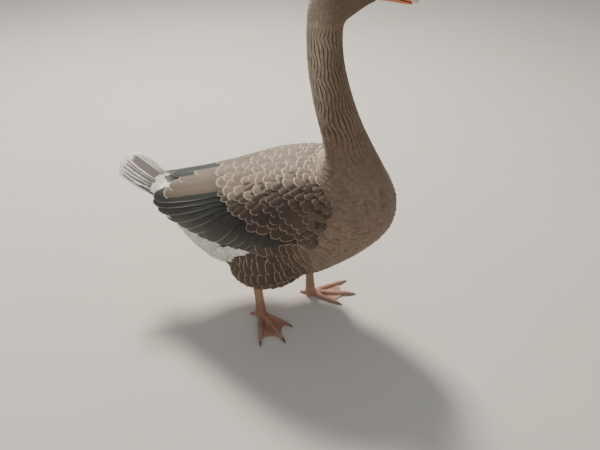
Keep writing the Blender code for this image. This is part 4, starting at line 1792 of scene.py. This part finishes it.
@dataclass
class Wing:
    """One closed wing: shoulder feathers, coverts, long inner feathers and the flight feathers."""

    side: Side
    shell: WingShell
    plumage: Plumage
    covert_way: tuple[float, float] = (0.74, -300.0)
    covert_slant: float = 0.0023
    degree: float = 0.0031
    front: tuple[tuple[float, ...], ...] = ((40, 60, 80, 100), (0.112, 0.104, 0.094, 0.080))
    scapular_columns: int = 8
    scapular_places: tuple[float, ...] = (-0.15, -0.05, 0.03, 0.09)
    scapular_sizes: tuple[tuple[float, ...], ...] = (
        (0.082, 0.060, 0.042, 0.030),
        (0.042, 0.036, 0.028, 0.022),
        (0.038, 0.027, 0.017, 0.011),
    )

    def __post_init__(self) -> None:
        """Starts the run of numbers by chance."""
        self.chance = np.random.default_rng(SEED + (5 if self.side is Side.LEFT else 7))

    def vane(
        self,
        coat: Coat,
        quill: Quill,
        rise: Triple,
        tones: tuple[str, str],
        traits: tuple[float, float],
        shade: float = 1.0,
        roll: float = 0.026,
    ) -> None:
        """Sets one feather from its root to its tip on the hull.

        Args:
            coat: the coat that it goes into.
            quill: the feather's root, tip and width.
            rise: how high its root lies, how much its tip rises, how much its sides drop.
            tones: the names of its ground and edge colours.
            traits: where the edge band starts and how strong it is.
            shade: how light its ground is.
            roll: how far its lower edge stands out, against its width.
        """
        side = self.side.value
        root, tip = quill.root, quill.tip
        start, end = self.shell.point(*root, side), self.shell.point(*tip, side)
        middle = ((root[0] + tip[0]) / 2, (root[1] + tip[1]) / 2)
        through = self.shell.point(*middle, side)
        lie = unit(end - start)
        face = self.shell.normal(*middle, side)
        face = unit(face - lie * float(face @ lie))
        length = float(np.linalg.norm(through - start) + np.linalg.norm(end - through))
        light = shade * (1 + 0.16 * (self.chance.random() - 0.5))
        place = (0.05 + 0.90 * root[1] / 125, 0.04 + 0.90 * (root[0] + 0.12) / 0.32)
        tints = (self.plumage.tone(tones[0]) * light, self.plumage.tone(tones[1]))
        draw, size = (self.chance.random(), *traits), (length, quill.width)
        coat.root(start, lie, face, size, rise, tints, draw, place, side * roll * quill.width)

    def scapulars(self) -> Coat:
        """The large rounded shoulder feathers, in staggered columns from the back to the wing's top.

        Returns:
            The coat, not yet built.
        """
        name = f"scapular_feathers_{self.side.tag}"
        coat = Coat(name, "grey_plumage", Cut.ROUND, patch=0.02, swing=0.10)
        for column in range(self.scapular_columns):
            share = column / (self.scapular_columns - 1)
            x = -0.152 + 0.050 * share**1.4 + (0.018 if column % 2 else 0.0)
            while x < 0.090:
                length, width, gap = (
                    float(np.interp(x, self.scapular_places, sizes)) for sizes in self.scapular_sizes
                )
                low = float(np.interp(x, (-0.10, 0.046, 0.10), (50, 35, 30)))
                angle = 3.5 + (low - 3.5) * share
                shift = 3.5 * (self.chance.random() - 0.5)
                size = 0.86 + 0.30 * self.chance.random()
                root = (x + length, angle + shift - 70 * length * (0.2 + 0.8 * share))
                strength = 0.34 + 0.40 * float(ease(-0.06, 0.06, x)) + 0.20 * self.chance.random()
                self.vane(
                    coat,
                    Quill(root, (x, angle + shift), width * size),
                    (-0.0002, 0.0026, 0.0032),
                    ("scapular", "scapular_tip"),
                    (0.76, strength),
                    0.94 + 0.08 * share,
                )
                x += gap * (0.80 + 0.36 * self.chance.random())
        return coat

    def tertials(self) -> Coat:
        """The long inner feathers that hang over the folded wing.

        Returns:
            The coat, not yet built.
        """
        name = f"tertial_feathers_{self.side.tag}"
        coat = Coat(name, "grey_plumage", Cut.LONG, patch=0.05, swing=0.02, spread=0.02)
        right = self.side is Side.RIGHT
        low, high = (-0.0004, 0.0018) if right else (0.0004, 0.0024)
        for k, quill in enumerate(TERTIALS_LOWER if right else TERTIALS_UPPER):
            rise = (low + 0.0004 * k, high, 0.0026)
            self.vane(coat, quill, rise, ("tertial", "scapular_tip"), (0.74, 0.70), 1.0 + 0.05 * k)
        return coat

    def coverts(self) -> Coat:
        """The slanted rows of small feathers over the wing's front half.

        Returns:
            The coat, not yet built.
        """
        name = f"covert_feathers_{self.side.tag}"
        coat = Coat(name, "wing_plumage", Cut.ROUND, patch=0.018, swing=0.05)
        on, down = self.covert_way
        for number, row in enumerate(COVERT_ROWS):
            pace = row.gap / self.degree
            angle = row.top + (0.5 * pace if number % 2 else 0.0)
            while angle < row.low:
                x = row.place + self.covert_slant * (angle - 58) + 0.002 * (self.chance.random() - 0.5)
                front = float(np.interp(angle, *self.front))
                reach = min(row.length, (front + 0.018 - x) / on)
                tuck = 0.0045 * float(ease(0.050, 0.095, x))
                if x < front:
                    self.vane(
                        coat,
                        Quill((x + on * reach, angle + down * reach), (x, angle), row.width),
                        (-0.0008 - tuck, 0.0026 + tuck, 0.0022),
                        ("covert", "covert_tip"),
                        (0.85, 0.86 - 0.06 * number),
                        1.0 + 1.2 * float(ease(0.02, 0.11, x)),
                    )
                angle += pace * (0.96 + 0.08 * self.chance.random())
        return coat

    def secondaries(self) -> Coat:
        """The closed fan of flight feathers behind the coverts, each upper one over the next below.

        Returns:
            The coat, not yet built.
        """
        name = f"secondary_feathers_{self.side.tag}"
        coat = Coat(name, "wing_plumage", Cut.LONG, patch=0.03, swing=0.015, spread=0.02)
        for k, quill in enumerate(SECONDARIES):
            rise = (-0.0022 + 0.0003 * k, 0.0012, 0.0004)
            self.vane(coat, quill, rise, ("secondary", "quill_edge"), (0.80, 0.80), 1.0, 0.048)
        return coat

    def primaries(self) -> Coat:
        """The long outer flight feathers, folded into a narrow stack over the tail.

        Returns:
            The coat, not yet built.
        """
        name = f"primary_feathers_{self.side.tag}"
        coat = Coat(name, "wing_plumage", Cut.LONG, patch=0.03, swing=0.01, spread=0.01)
        right = self.side is Side.RIGHT
        high, strength, roll = (0.0016, 0.80, 0.048) if right else (0.0054, 0.30, 0.02)
        for k, quill in enumerate(PRIMARIES_SPREAD if right else PRIMARIES_CROSSED):
            rise = (-0.0030 + 0.0003 * k, high, 0.0004)
            self.vane(coat, quill, rise, ("primary", "quill_edge"), (0.80, strength), 1.0, roll)
        return coat

    def build(
        self,
        vanes: dict[Cut, bpy.types.Object],
        tree: VaneTree,
        bed: bpy.types.Object,
        finishes: dict[str, bpy.types.Material],
    ) -> None:
        """Makes all five pieces, which stand for the wing's solids.

        Args:
            vanes: the blades by their cut.
            tree: the tree that sets them.
            bed: the hull that they lie on.
            finishes: the materials by name.
        """
        for make, finish, node in (
            (self.scapulars, "broad", "scapulars"),
            (self.tertials, "broad", "tertials"),
            (self.coverts, "broad", "wing_coverts"),
            (self.secondaries, "quill", "secondaries"),
            (self.primaries, "quill", "primaries"),
        ):
            piece = make().build(vanes, tree, bed, finishes[finish])
            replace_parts(piece, f"{node}_{self.side.tag}")


@dataclass
class Tail:
    """The spread tail: broad feathers in a fan, with short ones over and under their roots."""

    plumage: Plumage
    root: Triple = (-0.250, 0.0, 0.241)
    length: float = 0.151
    root_half: float = 0.037
    tip_half: float = 0.048
    rise: float = math.radians(31)
    arch: float = 0.015
    feathers: int = 12
    upper_reaches: tuple[float, ...] = (0.062, 0.052, 0.042)
    under_reaches: tuple[float, ...] = (0.112, 0.096, 0.079, 0.062, 0.045)

    def point(self, share: float, reach: float, lift: float) -> np.ndarray:
        """A world point of the fan.

        Args:
            share: the place across it, -1 to 1.
            reach: how far from its root.
            lift: how far above its middle surface.

        Returns:
            The point.
        """
        part = reach / self.length
        up = lift - self.arch * share * share * (0.4 + 0.6 * part)
        back, high = math.cos(self.rise), math.sin(self.rise)
        across = share * (self.root_half + (self.tip_half - self.root_half) * part)
        off = (up * high - reach * back, across, reach * high + up * back)
        return np.array(self.root) + STANCE + np.array(off)

    def feather(
        self,
        coat: Coat,
        share: float,
        span: tuple[float, float],
        lift: tuple[float, float],
        size: tuple[float, float],
        tones: tuple[np.ndarray, np.ndarray],
        traits: Triple,
        flip: float = 1.0,
    ) -> None:
        """Sets one feather of the fan.

        Args:
            coat: the coat that it goes into.
            share: its place across the fan.
            span: how far from the fan's root it begins and ends.
            lift: how high it starts and how much it rises.
            size: its width, and how much its sides drop.
            tones: its ground and edge colours.
            traits: chance, band and strength.
            flip: -1 for a feather on the underside.
        """
        start, end = span
        spot, tip = self.point(share, start, 0), self.point(share, end, 0)
        middle = (start + end) / 2
        aside = self.point(share + 0.02, middle, 0) - self.point(share - 0.02, middle, 0)
        face = unit(np.cross(tip - spot, aside))
        face = face * np.sign(face[2]) * flip
        place = (0.5 + 0.44 * share, 0.06 + 0.42 * start / self.length + (0.46 if flip < 0 else 0.0))
        long = float(np.linalg.norm(tip - spot))
        coat.root(spot, tip - spot, face, (long, size[0]), (*lift, size[1]), tones, traits, place)

    def coats(self) -> tuple[Coat, Coat]:
        """Roots the long feathers and the short ones.

        Returns:
            The coat of the fan and the coat of its coverts.
        """
        chance = np.random.default_rng(SEED + 9)
        fan = Coat("tail_vanes", "white_plumage", Cut.FAN, 0.0, 0.0003, 0.012, 0.012, 0.055)
        short = Coat("tail_coverts", "white_plumage", Cut.ROUND, 0.0, 0.0002, 0.12, 0.08, 0.008)
        grey, white = self.plumage.tone("tail"), self.plumage.tone("white")
        for k in range(self.feathers):
            share = ((2 * k + 1) / self.feathers - 1) * 0.93
            end = self.length * (1 - 0.13 * abs(share) ** 2.2 - 0.07 * chance.random())
            tone = grey * (0.78 + 0.4 * chance.random())
            rise = (-0.0018 + 0.0026 * (1 - abs(share)), 0.0008)
            traits = (chance.random(), 0.56, 1.0)
            self.feather(fan, share, (0.026, end), rise, (0.0290, 0.0014), (tone, white), traits)
        for flip, high, reaches in ((1.0, 0.0014, self.upper_reaches), (-1.0, 0.0026, self.under_reaches)):
            for row, reach in enumerate(reaches):
                count = 9 - row % 2
                for k in range(count):
                    share = ((2 * k + 1) / count - 1) * 0.90
                    end = reach * (1 - 0.12 * share * share)
                    span = (max(end - 0.044, 0.004), end)
                    tone = white * (0.88 + 0.14 * chance.random())
                    rise = (0.0010 + 0.0004 * row, high)
                    traits = (chance.random(), 0.8, 0.3)
                    self.feather(short, share, span, rise, (0.021, 0.0016), (tone, white), traits, flip)
        return fan, short

    def build(
        self,
        vanes: dict[Cut, bpy.types.Object],
        tree: VaneTree,
        bed: bpy.types.Object,
        finishes: dict[str, bpy.types.Material],
    ) -> None:
        """Makes both pieces; the fan stands for the tail's solid.

        Args:
            vanes: the blades by their cut.
            tree: the tree that sets them.
            bed: the surface that feathers may cling to.
            finishes: the materials by name.
        """
        fan, short = self.coats()
        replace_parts(fan.build(vanes, tree, bed, finishes["tail"]), "tail_feathers")
        short.build(vanes, tree, bed, finishes["soft"])


@dataclass
class Hard:
    """Bill, claws and other smooth pieces: a welded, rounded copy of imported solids."""

    name: str
    nodes: tuple[str, ...]
    slot: str
    levels: int = 2
    seated: bool = False

    def shape(self, solids: Solids) -> bpy.types.Object:
        """The rounded copy, before anything is carved in it.

        Args:
            solids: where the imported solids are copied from.

        Returns:
            The new object; a seated one keeps the sharp border of its rear face.
        """
        thing = solids.merged(self.name, self.nodes)
        if self.seated:
            points = corners(thing.data)
            rear = points[:, 0] < points[:, 0].min() + 0.003
            crease = [rear[list(edge.vertices)].all() for edge in thing.data.edges]
            store(thing.data, "crease_edge", np.array(crease, np.float32), "EDGE")
        round_off = thing.modifiers.new("round", "SUBSURF")
        round_off.levels = round_off.render_levels = self.levels
        settled(thing)
        for face in thing.data.polygons:
            face.use_smooth = True
        return thing

    def hand_in(self, thing: bpy.types.Object, finish: bpy.types.Material) -> None:
        """Hands the piece to the frame with its finish, in place of its solids."""
        give(thing, finish)
        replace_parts(thing, *self.nodes)


@dataclass
class Bill:
    """The bill: its upper half with the nostrils, its lower half, and the nail."""

    nostril: tuple[float, float] = (0.1725, 0.6925)
    nostril_size: tuple[float, float] = (0.0062, 0.0024)

    def build(self, solids: Solids, finishes: dict[str, bpy.types.Material]) -> None:
        """Makes the bill's pieces.

        Args:
            solids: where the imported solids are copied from.
            finishes: the materials by name.
        """
        upper = Hard("bill_upper_hide", ("bill_upper",), "bill_orange", 3, True)
        thing = upper.shape(solids)
        self.carve(thing)
        upper.hand_in(thing, finishes["bill"])
        lower = Hard("bill_lower_hide", ("bill_lower",), "bill_orange", 2, True)
        lower.hand_in(lower.shape(solids), finishes["bill"])
        nail = Hard("bill_nail_horn", ("bill_nail",), "nail_horn", 2)
        nail.hand_in(nail.shape(solids), finishes["nail"])

    def carve(self, thing: bpy.types.Object) -> None:
        """Sinks the nostrils into the upper half, each a slanted slot with a raised lip.

        Args:
            thing: the upper half.
        """
        x, y, z = (corners(thing.data) - STANCE).T
        on, up = self.nostril
        long, high = self.nostril_size
        away = np.hypot((x - on + 0.25 * (z - up)) / long, (z - up + 0.42 * (x - on)) / high)
        slot = 0.0022 * ease(1.15, 0.45, away)
        lip = 0.0005 * ease(1.9, 1.3, away) * ease(0.9, 1.2, away)
        sink(thing.data, (slot - lip) * ease(0.004, 0.007, np.abs(y)))


@dataclass
class Eye:
    """One eye: a dark glossy ball, its brown iris, and the lids round it.

    The lid's profile gives each ring's radius beyond the opening and its depth.
    """

    side: Side
    centre: Triple = (0.1230, 0.0196, 0.7090)
    radius: float = 0.0078
    opening: float = 0.0058
    lid_height: float = 0.90
    facing: Triple = (0.20, 0.97, 0.02)
    lid_profile: tuple[tuple[float, float], ...] = (
        (0.0, 0.0058),
        (0.0003, 0.0064),
        (0.0009, 0.0066),
        (0.0016, 0.0058),
        (0.0021, 0.0042),
        (0.0022, 0.0018),
        (0.0004, 0.0028),
    )

    @property
    def axis(self) -> np.ndarray:
        """The way that the eye looks."""
        return unit(np.array(self.facing) * (1, self.side.value, 1))

    @property
    def middle(self) -> np.ndarray:
        """The ball's centre in the world."""
        return np.array(self.centre) * (1, self.side.value, 1) + STANCE

    def ring(self, radius: float, depth: float, count: int, tall: float = 1.0) -> list[np.ndarray]:
        """Points of a circle about the eye's axis.

        Args:
            radius: the circle's radius.
            depth: how far its plane is out from the eye's centre.
            count: how many points.
            tall: its height against its width.

        Returns:
            World points.
        """
        across = unit(np.cross(self.axis, (0, 0, 1.0)))
        high = np.cross(across, self.axis)
        turns = np.linspace(0, 2 * math.pi, count, endpoint=False)
        start = self.middle + self.axis * depth
        return [start + radius * (across * math.cos(t) + tall * high * math.sin(t)) for t in turns]

    def lathe(
        self, name: str, profile: list[tuple[float, float]], count: int = 40, tall: float = 1.0
    ) -> bpy.types.Object:
        """A closed body turned about the eye's axis.

        Args:
            name: the object's name.
            profile: radius and depth of each ring; a radius of 0 is a pole.
            count: points round each ring.
            tall: the rings' height against their width.

        Returns:
            The new object.
        """
        bm = bmesh.new()
        rings = []
        for radius, depth in profile:
            spots = self.ring(radius, depth, count, tall) if radius else self.ring(0.0, depth, 1)
            rings.append([bm.verts.new(Vector(p)) for p in spots])
        for a, b in zip(rings, rings[1:]):
            for k in range(count):
                n = (k + 1) % count
                face = [a[k % len(a)], a[n % len(a)], b[n % len(b)], b[k % len(b)]]
                bm.faces.new(list(dict.fromkeys(face)))
        if len(rings[0]) > 1 and len(rings[-1]) > 1:
            for k in range(count):
                n = (k + 1) % count
                bm.faces.new((rings[-1][k], rings[-1][n], rings[0][n], rings[0][k]))
        bmesh.ops.recalc_face_normals(bm, faces=bm.faces)
        mesh = bpy.data.meshes.new(name)
        bm.to_mesh(mesh)
        bm.free()
        for face in mesh.polygons:
            face.use_smooth = True
        return placed(name, mesh)

    def tones(self, points: np.ndarray) -> np.ndarray:
        """The ball's colours: a black pupil in a brown iris.

        Args:
            points: world points of the ball, one a row.

        Returns:
            A linear colour for each.
        """
        off = np.linalg.norm(np.cross(points - self.middle, self.axis), axis=1)
        front = ((points - self.middle) @ self.axis > 0).astype(float)
        pupil = (ease(0.0026, 0.0023, off) * front)[:, None]
        brown = linear(74, 40, 22)[None] * (0.75 + 0.5 * ease(0.0024, 0.0052, off))[:, None]
        return brown * (1 - pupil) + linear(8, 7, 7)[None] * pupil

    def build(self, finishes: dict[str, bpy.types.Material]) -> None:
        """Makes the ball, which stands for the eye's solid, and its lids.

        Args:
            finishes: the materials by name.
        """
        r, tag = self.radius * 0.97, self.side.tag
        turns = np.linspace(0, math.pi, 25)
        radii = [0.0, *(r * math.sin(t) for t in turns[1:-1]), 0.0]
        depths = [r * math.cos(t) + 0.0006 * float(ease(0.5, 0.0, t)) for t in turns]
        ball = self.lathe(f"eyeball_{tag}", list(zip(radii, depths)))
        write_colour(ball.data, self.tones(corners(ball.data)))
        rings = [(self.opening + beyond, depth) for beyond, depth in self.lid_profile]
        lid = self.lathe(f"eyelids_{tag}", rings, 48, self.lid_height)
        give(ball, finishes["eye"])
        give(lid, finishes["lid"])
        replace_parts(ball, f"eye_{tag}")


@dataclass
class Leg:
    """One shank with its webbed foot, in one scaly hide, and its claws."""

    side: Side
    voxel: float = 0.0012

    def build(self, solids: Solids, finishes: dict[str, bpy.types.Material]) -> None:
        """Makes the hide and the claws.

        Args:
            solids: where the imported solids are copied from.
            finishes: the materials by name.
        """
        tag = self.side.tag
        hide = Hard(f"leg_hide_{tag}", (f"shank_{tag}", f"foot_{tag}"), "leg_skin")
        thing = solids.wrapped(hide.name, hide.nodes, 3, self.voxel)
        hide.hand_in(thing, finishes["leg"])
        names = tuple(f"claw_{toe}_{tag}" for toe in ("inner", "middle", "outer"))
        claws = Hard(f"claws_{tag}", names, "claw_horn", 2)
        claws.hand_in(claws.shape(solids), finishes["claw"])


@dataclass
class Studio:
    """The floor, the lights and the camera."""

    camera_at: Triple = (0.4554, -0.9636, 0.8900)
    looking: Triple = (-0.2868, 0.7881, -0.5446)
    lens: float = 36.0
    sensor: float = 36.0
    floor_tint: Triple = (1.0, 0.93, 0.82)
    sky: tuple[float, float, float, float] = (0.86, 0.91, 1.0, 1.0)
    sky_strength: float = 0.46

    def light(
        self,
        name: str,
        at: Triple,
        size: float,
        power: float,
        tint: Triple,
    ) -> None:
        """A soft square light that shines at the bird.

        Args:
            name: the light's name.
            at: where it hangs.
            size: its side.
            power: its watts.
            tint: its colour.
        """
        data = bpy.data.lights.new(name, "AREA")
        data.energy, data.size, data.color = power, size, tint
        lamp = bpy.data.objects.new(name, data)
        lamp.location = at
        lamp.rotation_euler = (Vector((0, 0, 0.3)) - Vector(at)).to_track_quat("-Z", "Y").to_euler()
        bpy.context.scene.collection.objects.link(lamp)

    def camera(self) -> None:
        """Sets the camera at its place."""
        scene = bpy.context.scene
        data = bpy.data.cameras.new("camera")
        data.lens, data.sensor_width, data.clip_start = self.lens, self.sensor, 0.01
        camera = bpy.data.objects.new("camera", data)
        camera.location = self.camera_at
        camera.rotation_euler = Vector(self.looking).to_track_quat("-Z", "Y").to_euler()
        scene.collection.objects.link(camera)
        scene.camera = camera

    def floor(self) -> None:
        """Lays the pale floor."""
        mesh = bpy.data.meshes.new("floor")
        mesh.from_pydata([(-9, -9, 0), (9, -9, 0), (9, 9, 0), (-9, 9, 0)], [], [(0, 1, 2, 3)])
        floor = placed("floor", mesh)
        material, sheet, principled = shader("pale_floor")
        shade = sheet.math("MULTIPLY_ADD", noise(sheet, 3.0, 3.0), 0.04, 0.52)
        tint = sheet.add("ShaderNodeCombineColor")
        for socket, by in zip(tint.inputs, self.floor_tint):
            sheet.put(socket, sheet.math("MULTIPLY", shade, by))
        sheet.put(principled.inputs["Base Color"], tint.outputs[0])
        principled.inputs["Roughness"].default_value = 0.9
        mesh.materials.append(material)

    def build(self) -> None:
        """Sets up the whole studio."""
        self.camera()
        self.floor()
        scene = bpy.context.scene
        scene.world = scene.world or bpy.data.worlds.new("studio")
        scene.world.use_nodes = True
        background = scene.world.node_tree.nodes["Background"]
        background.inputs["Color"].default_value = self.sky
        background.inputs["Strength"].default_value = self.sky_strength
        self.light("key", (-1.2, 1.4, 2.6), 0.6, 170.0, (1.0, 0.95, 0.87))
        self.light("fill", (1.6, -2.2, 1.8), 2.4, 20.0, (1.0, 0.97, 0.93))


def finishes() -> dict[str, bpy.types.Material]:
    """Mixes all the finishes.

    Returns:
        The materials by the names that the classes use.
    """
    horn = HornFinish
    made = {
        "skin": SkinFinish(),
        "fine": FeatherFinish("small_feathers", sheen=0.05, barb_gap=0.0010),
        "soft": FeatherFinish("downy_feathers", 0.75, 0.2, 0.0013, 0.0002, root_shade=0.85),
        "broad": FeatherFinish("broad_feathers", shaft=0.35, barb_gap=0.0012),
        "tail": FeatherFinish("tail_feathers", 0.60, barb_gap=0.0012, shaft=0.4, root_shade=1.0),
        "quill": FeatherFinish("flight_feathers", 0.45, barb_gap=0.0010, shaft=0.5),
        "bill": horn("bill_hide", (214, 140, 98), (196, 118, 80), 0.52, 60.0, 0.0, 0.00004, 0.15),
        "nail": horn("nail_horn", (226, 205, 182), (205, 178, 150), 0.45, 80.0, 0.0, 0.00003, 0.1),
        "claw": horn("claw_horn", (92, 76, 62), (58, 47, 38), 0.38, 200.0, 0.0, 0.0001),
        "leg": horn("leg_hide", (184, 142, 116), (158, 114, 90), 0.50, 30.0, 0.0030, 0.0005, 0.12),
        "lid": horn("lid_hide", (158, 112, 84), (132, 90, 68), 0.48, 150.0, 0.0009, 0.0002, 0.1),
        "eye": EyeFinish(),
    }
    return {name: finish.make() for name, finish in made.items()}


def main() -> None:
    """Builds the goose's pieces in order, and reports each."""
    logging.basicConfig(level=logging.INFO, format="%(name)s: %(message)s", stream=sys.stdout)
    plumage, solids = Plumage(), Solids()
    looks = finishes()
    Studio().build()
    for side in Side:
        Leg(side).build(solids, looks)
        Eye(side).build(looks)
    Bill().build(solids, looks)
    skin_maker = Skin()
    wings = Surface(solids.merged("wing_cover", WINGS))
    skin_maker.build(solids, wings, plumage, looks["skin"])
    bed = solids.wrapped("coat_bed", FLESH + WINGS, 8)
    over = Surface(bed)
    sink(bed.data, BED_DEPTH * skin_maker.depth(corners(bed.data)))
    vanes, tree = {shape.cut: shape.make() for shape in VANES}, VaneTree()
    shell = WingShell()
    for coat, lay in zip(BodyPlumage().coats(over, wings, shell, plumage), LAYS):
        if coat.rows:
            coat.build(vanes, tree, bed, looks["soft" if lay.cut is Cut.LOOSE else "fine"])
    for side, foot_x in ((Side.RIGHT, -0.052), (Side.LEFT, 0.026)):
        ThighPlumage(side, foot_x).coat(over, plumage).build(vanes, tree, bed, looks["fine"])
    hull = shell.bed("wing_bed", 0.0012)
    for side in Side:
        Wing(side, shell, plumage).build(vanes, tree, hull, looks)
    Tail(plumage).build(vanes, tree, bed, looks)
    for helper in [*vanes.values(), bed, hull, bpy.data.objects["wing_cover"]]:
        bpy.data.objects.remove(helper)


if __name__ == "__main__":
    main()
